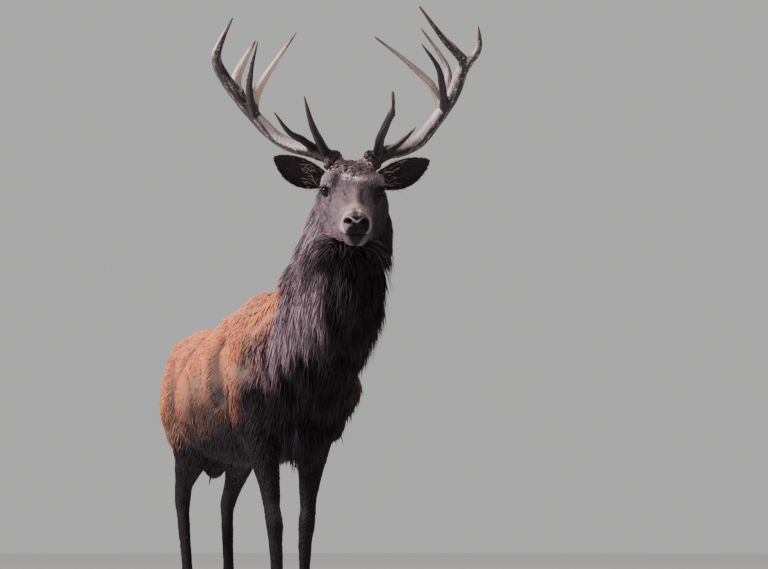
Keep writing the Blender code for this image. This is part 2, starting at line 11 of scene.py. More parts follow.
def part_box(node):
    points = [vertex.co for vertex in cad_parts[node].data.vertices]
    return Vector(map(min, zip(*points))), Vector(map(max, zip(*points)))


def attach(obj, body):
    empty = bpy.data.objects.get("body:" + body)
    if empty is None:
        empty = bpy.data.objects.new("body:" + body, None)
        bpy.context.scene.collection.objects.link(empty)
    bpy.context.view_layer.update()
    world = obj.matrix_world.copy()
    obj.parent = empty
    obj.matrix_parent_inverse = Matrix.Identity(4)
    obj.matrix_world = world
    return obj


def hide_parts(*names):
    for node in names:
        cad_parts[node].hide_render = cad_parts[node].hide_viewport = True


bl_info = {
    "name": "Red deer stag",
    "version": (1, 0, 0),
    "blender": (4, 5, 0),
    "location": "3D View > Sidebar > Stag",
    "description": "Skin, coat, antlers, eyes and hooves of a life-size red deer stag",
    "category": "Object",
}

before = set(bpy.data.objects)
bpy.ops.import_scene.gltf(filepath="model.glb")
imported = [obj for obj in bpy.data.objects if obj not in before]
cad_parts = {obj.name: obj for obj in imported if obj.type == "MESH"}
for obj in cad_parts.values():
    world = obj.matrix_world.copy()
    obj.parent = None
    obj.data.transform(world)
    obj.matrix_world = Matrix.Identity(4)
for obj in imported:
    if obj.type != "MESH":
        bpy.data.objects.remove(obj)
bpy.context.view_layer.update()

# ---------------------------------------------------------------- places

# The head's own axes: left, forward along the face, and up from it.
HEAD_AXES = np.array(Matrix.Rotation(math.radians(-21), 3, "Z")
                     @ Matrix.Rotation(math.radians(27), 3, "X"))
EYE_PLACE = np.array((0.079, 0.166, 0.022))
# The scale of the iris, and the ball's radius.
EYE_RADIUS = 0.0175
EYEBALL = 0.0188
EYES = {side: np.array(sum(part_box(side + "_eye"), Vector()) / 2) for side in "LR"}
HEAD_ORIGIN = (EYES["L"] + EYES["R"]) / 2 - HEAD_AXES @ (0, -EYE_PLACE[1], EYE_PLACE[2])
# From the stag's plan centre back to the point between its shoulders that the zones count from.
PLAN_SHIFT = HEAD_ORIGIN - np.array((0.078, -0.742, 1.490))

LEGS = ("R_fore", "L_fore", "R_hind", "L_hind")
LEG_NODES = [leg + "leg_" + half for leg in LEGS for half in ("upper", "lower")]
FLESH = ["trunk", "neck", "head", "tail"] + LEG_NODES
EARS = ["L_ear", "R_ear"]
# Which way each side's x runs from the middle.
HANDS = {"L": 1, "R": -1}
# A full turn in radians, near enough for waves and phases.
ROUND = 6.28


def into_head(points):
    """Places in the stag's frame as left, forward and up in the head's."""
    return ((points - HEAD_ORIGIN) @ HEAD_AXES) * (1, -1, 1)


def out_of_head(places):
    """Places given in the head's axes, in the stag's frame."""
    return (np.asarray(places, float) * (1, -1, 1)) @ HEAD_AXES.T + HEAD_ORIGIN


def turned_out(directions):
    """Directions given in the head's axes, in the stag's frame."""
    return (np.asarray(directions, float) * (1, -1, 1)) @ HEAD_AXES.T


def one_side(places):
    """Head places with those of the right side mirrored to the left."""
    return np.column_stack((np.abs(places[:, 0]), places[:, 1:]))


# ---------------------------------------------------------------- numbers

def metres(rows):
    """Nested rows of millimetres as metres."""
    return tuple(metres(row) if isinstance(row, tuple) else row / 1000 for row in rows)


def smooth(low, high, values):
    """0 below low, 1 above high, and a smooth step between; low may be the larger."""
    share = np.clip((values - low) / (high - low), 0, 1)
    return share * share * (3 - 2 * share)


def unit(vectors):
    """The vectors at length one."""
    return vectors / np.maximum(np.linalg.norm(vectors, axis=-1, keepdims=True), 1e-9)


def hump(*terms):
    """1 where each value is at its middle, falling away softly over its width."""
    return np.exp(-sum(((values - middle) / width) ** 2 for values, middle, width in terms))


def most(*fields):
    """The largest of several fields, point by point."""
    return reduce(np.maximum, fields)


def ripple(points, size, seed, waves=9):
    """A smooth random field from -1 to 1 whose swells are about one size across."""
    rng = np.random.default_rng(seed)
    total = np.zeros(len(points))
    for direction in unit(rng.normal(size=(waves, 3))):
        pitch = size * rng.uniform(0.8, 1.7)
        total += np.sin(points @ direction * 2 * math.pi / pitch + rng.uniform(0, ROUND))
    return np.clip(total / math.sqrt(waves) / 1.4, -1, 1)


def swirl(points, size, seed):
    """A smooth random field of directions."""
    return np.stack([ripple(points, size, seed + step) for step in range(3)], 1)


def flattened(ways, normals):
    """The directions laid flat along a surface, at length one."""
    return unit(ways - normals * np.sum(ways * normals, axis=1)[:, None])


def along_path(points, path):
    """Distance from each point to a line through the path's points."""
    best = np.full(len(points), 9.0)
    path = np.asarray(path, float)
    for start, end in zip(path, path[1:]):
        span = end - start
        share = np.clip((points - start) @ span / (span @ span), 0, 1)
        best = np.minimum(best, np.linalg.norm(points - start - share[:, None] * span, axis=1))
    return best


def through(rows, steps):
    """The rows' numbers resampled along a smooth curve through them."""
    points = np.array(rows, float)
    ends = np.vstack((2 * points[0] - points[1], points, 2 * points[-1] - points[-2]))
    result = []
    for index in range(len(points) - 1):
        a, b, c, d = ends[index:index + 4]
        for t in np.arange(steps) / steps:
            result.append(0.5 * (2 * b + (c - a) * t + (2 * a - 5 * b + 4 * c - d) * t ** 2
                                 + (3 * b - a - 3 * c + d) * t ** 3))
    result.append(points[-1])
    return np.array(result)


# The way the face looks, which the ears' hollows face too.
FACING = unit(turned_out((0.0, 1.0, 0.0)))

# ---------------------------------------------------------------- mesh helpers

# How an array is kept on a mesh, by its width.
KEPT_AS = {1: ("FLOAT", "value"), 3: ("FLOAT_VECTOR", "vector"), 4: ("FLOAT_COLOR", "color")}


def clear_selection():
    """Leave nothing selected, in object mode."""
    if bpy.context.object and bpy.context.object.mode != "OBJECT":
        bpy.ops.object.mode_set(mode="OBJECT")
    bpy.ops.object.select_all(action="DESELECT")


def pick(*items):
    """Select these objects alone, the first of them active."""
    clear_selection()
    for item in items:
        item.select_set(True)
    bpy.context.view_layer.objects.active = items[0]


def joined(name, *items):
    """Several objects as one, under this name."""
    pick(*items)
    if len(items) > 1:
        bpy.ops.object.join()
    items[0].name = items[0].data.name = name
    return items[0]


def edit(item, operator, **settings):
    """Run one operator on the whole of an object's mesh."""
    pick(item)
    bpy.ops.object.mode_set(mode="EDIT")
    bpy.ops.mesh.select_all(action="SELECT")
    operator(**settings)
    bpy.ops.object.mode_set(mode="OBJECT")


def apply(item, kind, **settings):
    """Add a modifier with its settings and apply it."""
    pick(item)
    modifier = item.modifiers.new(kind.lower(), kind)
    for key, value in settings.items():
        setattr(modifier, key, value)
    bpy.ops.object.modifier_apply(modifier=modifier.name)


def fuse(item, voxel, rounds):
    """Make one even surface of an object's shells and soften it."""
    apply(item, "REMESH", mode="VOXEL", voxel_size=voxel)
    apply(item, "SMOOTH", factor=0.5, iterations=rounds)


def new_object(name, data):
    """An object for this data, in the scene."""
    item = bpy.data.objects.new(name, data)
    bpy.context.scene.collection.objects.link(item)
    return item


def copy_of(nodes, name):
    """The CAD nodes' meshes as one merged object."""
    clear_selection()
    item = joined(name, *[new_object(name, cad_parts[node].data.copy()) for node in nodes])
    item.data.materials.clear()
    edit(item, bpy.ops.mesh.remove_doubles, threshold=0.00002)
    return item


def mesh_from(name, points, faces, corners=None):
    """An object from arrays; faces is one array of triangles or quads, or a list of both."""
    groups = faces if isinstance(faces, list) else [faces]
    loops = np.concatenate([group.ravel() for group in groups]).astype(np.int32)
    sizes = np.concatenate([np.full(len(group), group.shape[1]) for group in groups])
    starts = np.concatenate(([0], np.cumsum(sizes)[:-1])).astype(np.int32)
    mesh = bpy.data.meshes.new(name)
    mesh.vertices.add(len(points))
    mesh.vertices.foreach_set("co", np.ascontiguousarray(points, np.float32).ravel())
    mesh.loops.add(len(loops))
    mesh.loops.foreach_set("vertex_index", loops)
    mesh.polygons.add(len(starts))
    mesh.polygons.foreach_set("loop_start", starts)
    mesh.update(calc_edges=True)
    if corners is not None:
        layer = mesh.uv_layers.new(name="OFBake")
        layer.uv.foreach_set("vector", corners[loops].astype(np.float32).ravel())
    return new_object(name, mesh)


def tube_faces(rows, sides):
    """Walls between rings of points, and fans to two last points that close the ends."""
    grid = np.arange(rows * sides).reshape(rows, sides)
    turned = np.roll(grid, -1, 1)
    walls = np.stack((grid[:-1], turned[:-1], turned[1:], grid[1:]), axis=-1).reshape(-1, 4)
    start = np.full(sides, rows * sides)
    return [walls, np.stack((turned[0], grid[0], start), 1),
            np.stack((grid[-1], turned[-1], start + 1), 1)]


def fetch(items, key, width, kind=np.float32):
    """An array with a row for each of a mesh's points, edges or faces."""
    values = np.empty(len(items) * width, kind)
    items.foreach_get(key, values)
    values = values.reshape(-1, width)
    return values.astype(float) if kind is np.float32 else values


def coordinates(mesh):
    """The mesh's points as an array."""
    return fetch(mesh.vertices, "co", 3)


def normals_of(mesh):
    """The mesh's point normals as an array."""
    return fetch(mesh.vertex_normals, "vector", 3)


def edges_of(mesh):
    """The mesh's edges as pairs of points."""
    return fetch(mesh.edges, "vertices", 2, np.int32)


def place(mesh, points):
    """Move the mesh's points."""
    mesh.vertices.foreach_set("co", points.astype(np.float32).ravel())
    mesh.update()


def write(mesh, name, values):
    """Keep an array on the mesh's points, as numbers, vectors or colours by its width."""
    values = np.asarray(values, np.float32).reshape(len(mesh.vertices), -1)
    kind, field = KEPT_AS[values.shape[1]]
    layer = mesh.attributes.get(name) or mesh.attributes.new(name, kind, "POINT")
    layer.data.foreach_set(field, values.ravel())


def read(mesh, name, width):
    """An array kept on the mesh's points."""
    return fetch(mesh.attributes[name].data, KEPT_AS[width][1], width)


def spread(values, edges, rounds, share=1.0):
    """Average each point's values with its neighbours', round after round."""
    result = np.array(values, float)
    flat = result.ndim == 1
    result = result.reshape(len(result), -1)
    share = np.broadcast_to(np.asarray(share, float).reshape(-1, 1), (len(result), 1))
    heads = np.concatenate((edges[:, 0], edges[:, 1]))
    tails = np.concatenate((edges[:, 1], edges[:, 0]))
    count = np.maximum(np.bincount(heads, minlength=len(result)), 1)[:, None]
    for _ in range(rounds):
        near = np.stack([np.bincount(heads, weights=column[tails], minlength=len(result))
                         for column in result.T], axis=1) / count
        result = result + (near - result) * share * 0.7
    return result.ravel() if flat else result


def settle(item, nodes, finish):
    """Hand a finished piece over: its body, the CAD nodes it stands for and finish."""
    item.data.polygons.foreach_set("use_smooth", np.ones(len(item.data.polygons), bool))
    item.data.materials.clear()
    item.data.materials.append(finish)
    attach(item, "root")
    if nodes:
        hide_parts(*nodes)


# ---------------------------------------------------------------- finishes

class Line:
    """A number's socket that takes part in Python expressions by adding Math nodes."""

    def __init__(self, finish, socket):
        self.finish = finish
        self.socket = socket

    def sum(self, operation, first, second):
        """The result of one Math node."""
        node = self.finish.node("ShaderNodeMath", {"operation": operation}, {0: first, 1: second})
        return Line(self.finish, node.outputs[0])

    def __add__(self, other):
        return self.sum("ADD", self, other)

    def __sub__(self, other):
        return self.sum("SUBTRACT", self, other)

    def __rsub__(self, other):
        return self.sum("SUBTRACT", other, self)

    def __mul__(self, other):
        return self.sum("MULTIPLY", self, other)

    def __pow__(self, other):
        return self.sum("POWER", self, other)

    __radd__ = __add__
    __rmul__ = __mul__

    def step(self, low, high):
        """A smooth step from 0 at low to 1 at high."""
        node = self.finish.node("ShaderNodeMapRange", {"interpolation_type": "SMOOTHSTEP"},
                                {0: self, 1: low, 2: high})
        return Line(self.finish, node.outputs[0])


class Finish:
    """A material with one Principled shader and the nodes that feed it."""

    def __init__(self, name, **constants):
        self.material = bpy.data.materials.new(name)
        self.material.use_nodes = True
        self.tree = self.material.node_tree
        self.shader = self.tree.nodes["Principled BSDF"]
        for key, value in constants.items():
            self.feed(self.shader, key.replace("_", " "), value)

    def feed(self, node, key, value):
        """Set a socket, or link it to another."""
        socket = node.inputs[key]
        if isinstance(value, Line):
            value = value.socket
        if isinstance(value, bpy.types.NodeSocket):
            self.tree.links.new(value, socket)
        elif socket.type == "RGBA":
            socket.default_value = (*value, 1.0)
        else:
            socket.default_value = value

    def node(self, kind, settings, sockets=None):
        """A node of this type, its settings set first and its sockets after."""
        node = self.tree.nodes.new(kind)
        for key, value in settings.items():
            setattr(node, key, value)
        for key, value in (sockets or {}).items():
            self.feed(node, key, value)
        return node

    def kept(self, name):
        """A number kept on the mesh's points."""
        node = self.node("ShaderNodeAttribute", {"attribute_name": name})
        return Line(self, node.outputs["Fac"])

    def channels(self, name):
        """The three masks kept in a colour attribute."""
        kept = self.node("ShaderNodeAttribute", {"attribute_name": name})
        node = self.node("ShaderNodeSeparateColor", {}, {0: kept.outputs["Color"]})
        return [Line(self, node.outputs[index]) for index in range(3)]

    def noise(self, size, detail, roughness, stretch=(1.0, 1.0, 1.0)):
        """A noise over the piece's own coordinates, stretched, as a number."""
        source = self.node("ShaderNodeTexCoord", {})
        where = self.node("ShaderNodeMapping", {},
                          {"Vector": source.outputs["Object"], "Scale": stretch})
        node = self.node("ShaderNodeTexNoise", {}, {"Vector": where.outputs[0], "Scale": size,
                                                    "Detail": detail, "Roughness": roughness})
        return Line(self, node.outputs[0])

    def mix(self, first, second, share, blend="MIX"):
        """Two colours mixed, by a share."""
        node = self.node("ShaderNodeMix", {"data_type": "RGBA", "blend_type": blend},
                         {0: share, 6: first, 7: second})
        return node.outputs[2]

    def shade(self, colour, value):
        """A colour made darker or lighter by a number around one."""
        grey = self.node("ShaderNodeCombineColor", {}, {0: value, 1: value, 2: value})
        return self.mix(colour, grey.outputs[0], 1.0, "MULTIPLY")

    def made(self, colour, roughness=None, height=None, strength=0.0, distance=0.0):
        """Feed the shader its colour, roughness and bump, and give the material."""
        self.feed(self.shader, "Base Color", colour)
        if roughness is not None:
            self.feed(self.shader, "Roughness", roughness)
        if height is not None:
            node = self.node("ShaderNodeBump", {},
                             {"Height": height, "Strength": strength, "Distance": distance})
            self.feed(self.shader, "Normal", node.outputs[0])
        return self.material


def hair_colour(finish):
    """The coat's markings and the light and shade painted into them, the same on skin and tufts, from
    the masks kept on the mesh.
    """
    settings = bpy.context.scene.stag_coat
    mane, dark, grey = finish.channels("zones_body")
    pale, black, warm = finish.channels("zones_face")
    colour = finish.mix(settings.back, settings.flank, grey)
    for tint, share in ((settings.mane, mane), (settings.dark, dark), (settings.warm, warm),
                        (settings.pale, pale), (settings.black, black)):
        colour = finish.mix(colour, tint, share)
    return colour, black


def skin_finish():
    """The skin under the coat: the markings with their painted light and shade, darker between the
    tufts, with combed bump.
    """
    finish = Finish("stag_skin", Specular_IOR_Level=0.10)
    colour, black = hair_colour(finish)
    streaks = finish.noise(210.0, 3.0, 0.6, (1.0, 0.45, 0.22))
    blotches = finish.noise(14.0, 3.0, 0.6)
    grain = finish.noise(700.0, 1.0, 0.5)
    return finish.made(finish.shade(colour, streaks * 0.5 + blotches * 0.35 + 0.36),
                       0.70 - black * 0.24 + grain * 0.1,
                       streaks + grain * black * 0.5, 0.55, 0.0016)


def coat_finish(name, contrast, gloss):
    """The tufts: the markings with their painted light and shade, each tuft its own tone, darker at
    its root.
    """
    finish = Finish(name, Specular_IOR_Level=gloss)
    colour, _ = hair_colour(finish)
    tone, tip = finish.kept("tone"), finish.kept("tip")
    fine = finish.noise(160.0, 2.0, 0.6)
    value = 1.0 - contrast + tone * contrast * 1.2 + (tip ** 0.7) * 0.35 + fine * 0.22 - 0.10
    return finish.made(finish.shade(colour, value), 0.66 - tip * 0.10 + fine * 0.08,
                       finish.noise(900.0, 1.0, 0.5), 0.25, 0.0006)


def antler_finish():
    """Bone, dark brown in its furrows and paler on its ridges and where a highlight is painted, with
    dark tips.
    """
    settings = bpy.context.scene.stag_antlers
    finish = Finish("stag_antler", Specular_IOR_Level=0.35)
    ridge_and_highlight, tip, bleach = (finish.kept(name) for name in ("ridge_and_highlight", "tip", "bleach"))
    cloud = finish.noise(22.0, 4.0, 0.65)
    pores = finish.noise(420.0, 2.0, 0.6)
    colour = finish.mix(settings.furrow, settings.bone,
                        (ridge_and_highlight * 0.95 + cloud * 0.45 - 0.28).step(0.12, 0.92))
    colour = finish.mix(colour, settings.worn, (bleach * (cloud * 0.7 + 0.55)).step(0.1, 1.0))
    colour = finish.mix(colour, settings.tip, tip.step(0.15, 1.0))
    return finish.made(finish.shade(colour, pores * 0.5 + 0.75), 0.40 - tip * 0.06 + pores * 0.16,
                       pores + cloud * 0.5, 0.45, 0.0008)


def eye_finish():
    """A dark wet eye: brown iris, a level pupil and a dark rim."""
    finish = Finish("stag_eye", Roughness=0.08, Specular_IOR_Level=0.14)
    across, rise = finish.kept("across"), finish.kept("rise")
    reach = (across * across + rise * rise) ** 0.5
    slot = ((across * 0.52) * (across * 0.52) + rise * rise) ** 0.5
    streaks = finish.noise(900.0, 2.0, 0.6)
    iris = finish.mix((0.004, 0.002, 0.002), (0.010, 0.005, 0.004), streaks)
    colour = finish.mix(iris, (0.003, 0.002, 0.002), slot.step(0.36, 0.28))
    return finish.made(finish.mix(colour, (0.006, 0.004, 0.004), reach.step(0.58, 0.74)))


def horn_finish():
    """Hoof horn: dark, with pale growth rings and scuffed soles."""
    finish = Finish("stag_horn", Specular_IOR_Level=0.4)
    rings = finish.noise(150.0, 3.0, 0.6, (0.12, 0.12, 1.0))
    scuffs = finish.noise(55.0, 4.0, 0.7)
    colour = finish.mix((0.020, 0.016, 0.014), (0.095, 0.078, 0.064), rings.step(0.45, 0.8))
    colour = finish.mix(colour, (0.16, 0.14, 0.12), scuffs.step(0.62, 0.85) * 0.6)
    return finish.made(colour, 0.42 + scuffs * 0.3, rings + scuffs * 0.5, 0.5, 0.001)


def floor_finish():
    """Plain pale floor."""
    finish = Finish("studio_floor", Specular_IOR_Level=0.2)
    dust = finish.noise(3.0, 4.0, 0.6)
    return finish.made(finish.mix((0.78, 0.775, 0.77), (0.82, 0.815, 0.81), dust), 0.8 + dust * 0.1)


# ---------------------------------------------------------------- skin

# The grain of the fused skin, and of fused antlers and claws.
VOXEL = 0.0100
HORN_VOXEL = 0.0024
# How far the flesh is swollen before fusing, so that thin parts hold.
SWELLING = 0.0016
# Where the skin is made finer: in front of and above these places of the head, within this half
# width, or this near to an eye.
FINER = ((0.0, -0.150, 0.13, 0.0), (0.140, -0.095, 0.13, 0.0), (0.394, -0.100, 1.0, 0.030))
MOST_SKIN_TRIANGLES = 195000
PARTS = ("trunk", "neck", "head", "tail", "upper_leg", "lower_leg", "ear")
# How deep the coat is over each part, in metres.
COAT_DEPTH = dict(trunk=0.008, neck=0.026, head=0.0025, tail=0.010, upper_leg=0.006,
                  lower_leg=0.0025, ear=0.0008)

EAR_ROOT = np.array((0.062, 0.020, 0.012))
EAR_TIP = np.array((0.246, 0.060, 0.102))

# The head's features in its own axes, for the left side: place, radii and rise, in millimetres.
# The tables below are in millimetres too, where they say metres(...).
FEATURES = metres((
    ((78, 150, 52), (24, 34, 22), 12.5),  # dome of the brow
    ((92, 140, 20), (12, 18, 18), 4),  # rim behind the eye
    ((84, 190, -4), (14, 32, 10), 6),  # cheekbone
    ((84, 85, 40), (16, 22, 22), -7),  # temple
    ((60, 255, -55), (16, 45, 24), -7.5),  # hollow before the jaw muscle
    ((82, 125, -65), (20, 50, 40), 5),  # jaw muscle
    ((54, 245, -12), (10, 55, 9), 3.5),  # ridge of the cheek
    ((47, 368, -28), (20, 48, 40), 6),  # side of the muzzle
    ((18, 404, 20), (12, 14, 9), 6),  # upper rim of the nostril
    ((40, 398, -8), (10, 16, 14), 5.5),  # wing of the nostril
    ((26, 418, -34), (14, 14, 9), 4),  # upper lip
    ((21, 405, -78), (15, 18, 14), 5),  # lower lip
))
MIDDLE_FEATURES = metres((
    ((0, 165, 72), (18, 35, 20), -4),  # hollow of the forehead
    ((0, 320, 34), (12, 70, 14), 3),  # ridge of the nose
    ((0, 412, 14), (7, 12, 9), -4),  # dip between the nostrils
    ((0, 430, -24), (4, 12, 16), -3.5),  # groove of the lip
    ((0, 415, -80), (6, 16, 18), -3.5),  # dip of the chin
))
NOSTRIL = metres(((22.5, 424, -7.5), (9, 15, 5.6), -15))
# Grooves: path, width and depth.
GROOVES = metres((
    (((70, 190, 34), (70, 200, 17), (69, 211, 0)), 4.2, 7.5),
    (((61, 207, 22), (46, 233, 26), (30, 280, 28)), 3.4, 2.8),
    (((28, 225, 41), (23, 271, 33), (21, 335, 26), (34, 338, 14), (48, 320, -10)), 6, 3.4),
    (((24, 424, -8), (34, 414, -11), (40, 402, -3)), 3.6, 7),
    (((52, 345, 0), (56, 335, -30), (54, 325, -55)), 7, 3),
    (((66, 180, 52), (60, 200, 40), (52, 215, 30)), 5, 3),
))
PIT = GROOVES[0][0]
CREASE = GROOVES[2][0]
MOUTH = metres((
    (0, 430, -50), (26, 418, -50), (44, 385, -53), (50, 345, -60), (50, 315, -68),
))
GULL_WING = metres((
    (0, 427, -9), (12, 424, -3), (22, 418, 5), (31, 410, 3),
))

# Soft folds of the flank: path by distance along the body and height, width, and rise or fall.
FLANK_FOLDS = metres((
    (((-410, 1070), (-455, 990), (-445, 909), (-490, 850), (-445, 790), (-438, 720)), 26, 15),
    (((-300, 1060), (-205, 1017), (-215, 928), (-250, 840)), 36, -13),
    (((-252, 1090), (-139, 1042), (-35, 982), (82, 929), (128, 846), (119, 765)), 28, 15),
    (((60, 1080), (130, 1010), (200, 960)), 36, -6),
    (((340, 1050), (330, 966), (297, 868), (255, 764), (235, 715)), 26, -13),
    (((-400, 1176), (-491, 1101), (-546, 984), (-553, 910)), 20, 7),
    (((-398, 1160), (-392, 1130), (-470, 1080), (-510, 980), (-520, 900)), 14, -7),
    (((-410, 860), (-330, 800), (-270, 730)), 28, -15),
    (((-100, 960), (-130, 880), (-100, 790)), 18, 5),
    (((10, 930), (-20, 860), (10, 780)), 18, 5),
    (((430, 1080), (420, 950), (380, 820)), 34, 7),
))
# The lower edge of the lit flank, by distance along the body and height; below it the hair is painted
# dark, partly its own dark hair and mud and partly painted shade.
DARK_EDGE = metres((
    (-900, 1050), (-700, 1000), (-605, 950), (-558, 890), (-510, 815), (-470, 765), (-260, 778),
    (-120, 746), (20, 732), (420, 744), (600, 770),
))
# Bulges under the belly: place along the body, half spans across and along, and drop.
BELLY_BULGES = metres(((360, 70, 100, 140), (90, 28, 85, 50)))
# Where the mane ends behind, by height and distance along the body.
MANE_END = metres((
    (800, -560), (1000, -575), (1100, -600), (1170, -640), (1240, -600), (1320, -500),
))
# The neck's middle by height, and how far round from its front the dark of the throat begins: the
# throat's own dark hair, carried round the neck's left side as painted shade.
NECK_LINE = ((0.90, 0.000, -0.400, -4), (0.97, 0.003, -0.450, -8), (1.09, 0.027, -0.635, -22),
             (1.23, 0.055, -0.725, -42), (1.33, 0.066, -0.752, -46), (1.49, 0.078, -0.745, -50))


class Body:
    """Points on the stag, with their places in its plan and in the head's axes."""

    def __init__(self, points, normals, shares):
        self.points = points
        self.normals = normals
        self.spots = points - PLAN_SHIFT
        self.places = into_head(points)
        self.shares = shares
        (self.trunk, self.neck, self.head, self.tail, self.upper_leg, self.lower_leg,
         self.ear) = shares.T[:len(PARTS)]


def ear_surface(side):
    """A cupped leaf with a thin rolled rim, from inside the head to its tip."""
    stations, arc = 30, 17
    along = EAR_TIP - EAR_ROOT
    across = unit(np.array((-along[2], 0, along[0])))
    front = unit(np.array((0.15, 1, 0)))
    rows = []
    for share in np.linspace(0, 1, stations):
        wave = math.sin(math.pi * (0.09 + 0.895 * share ** 1.2)) ** 0.75
        stalk = 1 - 0.30 * math.exp(-((share - 0.06) / 0.10) ** 2)
        half = 0.0455 * wave * stalk
        cup = 0.026 * wave * (1 - 0.35 * share) / stalk
        centre = EAR_ROOT + along * share - across * 0.010 * math.sin(math.pi * share)
        thick = 0.0045 * (1 - 0.45 * share)
        outer, inner = [], []
        for turn in np.linspace(-0.5, 0.5, arc) * math.pi:
            edge = across * half * math.sin(turn)
            fold = 0.0016 * math.sin(turn * 7) * math.sin(math.pi * share) * math.cos(turn)
            depth = cup * math.cos(turn)
            skin = thick * (0.25 + 0.25 * math.cos(turn))
            outer.append(centre + edge - front * (depth + skin))
            inner.append(centre + edge * 0.97 - front * (depth * 0.95 + fold - skin))
        rows.append(outer + inner[::-1])
    points = out_of_head(np.array(rows).reshape(-1, 3) * (HANDS[side], 1, 1))
    sides = 2 * arc
    points = np.vstack((points, points[:sides].mean(0), points[-sides:].mean(0)))
    item = mesh_from("ear_" + side, points, tube_faces(stations, sides))
    edit(item, bpy.ops.mesh.normals_make_consistent, inside=False)
    return item


def part_shares(points):
    """Which part of the body each point belongs to, as a 1 among zeros."""
    corners, faces, owners = [], [], []
    for node in FLESH + EARS:
        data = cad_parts[node].data
        base = len(corners)
        corners += [vert.co.copy() for vert in data.vertices]
        faces += [[base + index for index in face.vertices] for face in data.polygons]
        word = ("ear" if node in EARS else "upper_leg" if node.endswith("upper")
                else "lower_leg" if node.endswith("lower") else node)
        owners += [PARTS.index(word)] * len(data.polygons)
    tree = BVHTree.FromPolygons(corners, faces)
    return np.eye(len(PARTS))[[owners[tree.find_nearest(point)[2]] for point in points]]


def swell(points, normals, places, side, feature):
    """Raise or sink the skin around one feature of the head."""
    centre, radii, rise = feature
    reach = (places - np.array(centre) * (side, 1, 1)) / np.array(radii)
    weight = np.exp(-np.sum(reach ** 2, axis=1))
    points += normals * (rise * weight)[:, None]


def carve(points, normals, places, path, side, width, depth):
    """Sink the skin along a line."""
    weight = hump((along_path(places, np.array(path) * (side, 1, 1)), 0, width))
    points -= normals * (depth * weight)[:, None]


def gaze(side):
    """The eye's outward axis, the line between its corners and the one across it."""
    hand = HANDS[side]
    outward = unit(turned_out((0.76 * hand, 0.63, 0.14)))
    level = turned_out((0.30 * hand, -1.0, 0.10))
    level = unit(level - outward * (level @ outward))
    return outward, level, np.cross(outward, level) * hand


def open_lids(points, side):
    """Shape the skin round the eye: lids that lie on the ball, open in an almond."""
    outward, level, rise = gaze(side)
    span = points - EYES[side]
    z, x, y = span @ outward, span @ level, span @ rise
    flat = np.sqrt(x ** 2 + y ** 2)
    near = (flat < 0.044) & (z > -0.006) & (z < 0.040)
    upper = np.where(y > 0, 0.0132, 0.0112)
    almond = np.sqrt((x / 0.0172) ** 2 + (y / upper) ** 2)
    ball = EYEBALL + 0.0020
    on_ball = np.sqrt(np.maximum(ball ** 2 - flat ** 2, 0.0090 ** 2))
    behind = np.sqrt(np.maximum((EYEBALL - 0.0040) ** 2 - flat ** 2, 0.0))
    rim = 0.0018 * hump((almond, 1.16, 0.15))
    fold = -0.0026 * hump((almond, 1.55, 0.13)) * smooth(-0.004, 0.004, y)
    target = np.where(almond < 1.0, behind, on_ball + rim + fold)
    weight = np.where(near, 1 - smooth(1.30, 2.2, almond), 0)
    points += outward * ((target - z) * weight)[:, None]
    return np.where(near, smooth(1.42, 1.22, almond), 0)


def sculpt_head(points, normals):
    """Raise brows, cheeks, nose and lips, carve nostrils and mouth, and open the lids."""
    places = into_head(points)
    for side in (-1, 1):
        for feature in FEATURES:
            swell(points, normals, places, side, feature)
    for feature in MIDDLE_FEATURES:
        swell(points, normals, places, 1, feature)
    for side in (-1, 1):
        swell(points, normals, places, side, NOSTRIL)
        for path, width, depth in GROOVES:
            carve(points, normals, places, path, side, width, depth)
        carve(points, normals, places, MOUTH, side, 0.0038, 0.0060)
        carve(points, normals, places, GULL_WING, side, 0.0030, -0.0022)
    return most(*[open_lids(points, side) for side in "LR"])


def streaks_of_mane(points):
    """Where the mane parts into hanging strands: 1 on a strand, -1 in a gap."""
    return ripple(points * (1, 1, 0.20), 0.034, 9)


def fold_flanks(points, normals, trunk, mane):
    """Raise the folds over ribs, shoulder and thigh and the mane's strands; give the folds back."""
    points += normals * (0.0055 * streaks_of_mane(points) * mane)[:, None]
    spots = points - PLAN_SHIFT
    rise = np.zeros(len(points))
    for path, width, amount in FLANK_FOLDS:
        rise += 1.35 * amount * hump((along_path(spots[:, 1:], path), 0, width))
    rise *= smooth(0.07, 0.12, np.abs(spots[:, 0])) * trunk
    points += normals * rise[:, None]
    for along, half_across, half_along, drop in BELLY_BULGES:
        reach = hump((spots[:, 0], 0, half_across), (spots[:, 1], along, half_along))
        under = smooth(-0.2, -0.8, normals[:, 2]) * smooth(0.60, 0.64, spots[:, 2])
        points[:, 2] -= drop * reach * under
    return np.clip(rise / 0.016, -1, 1)


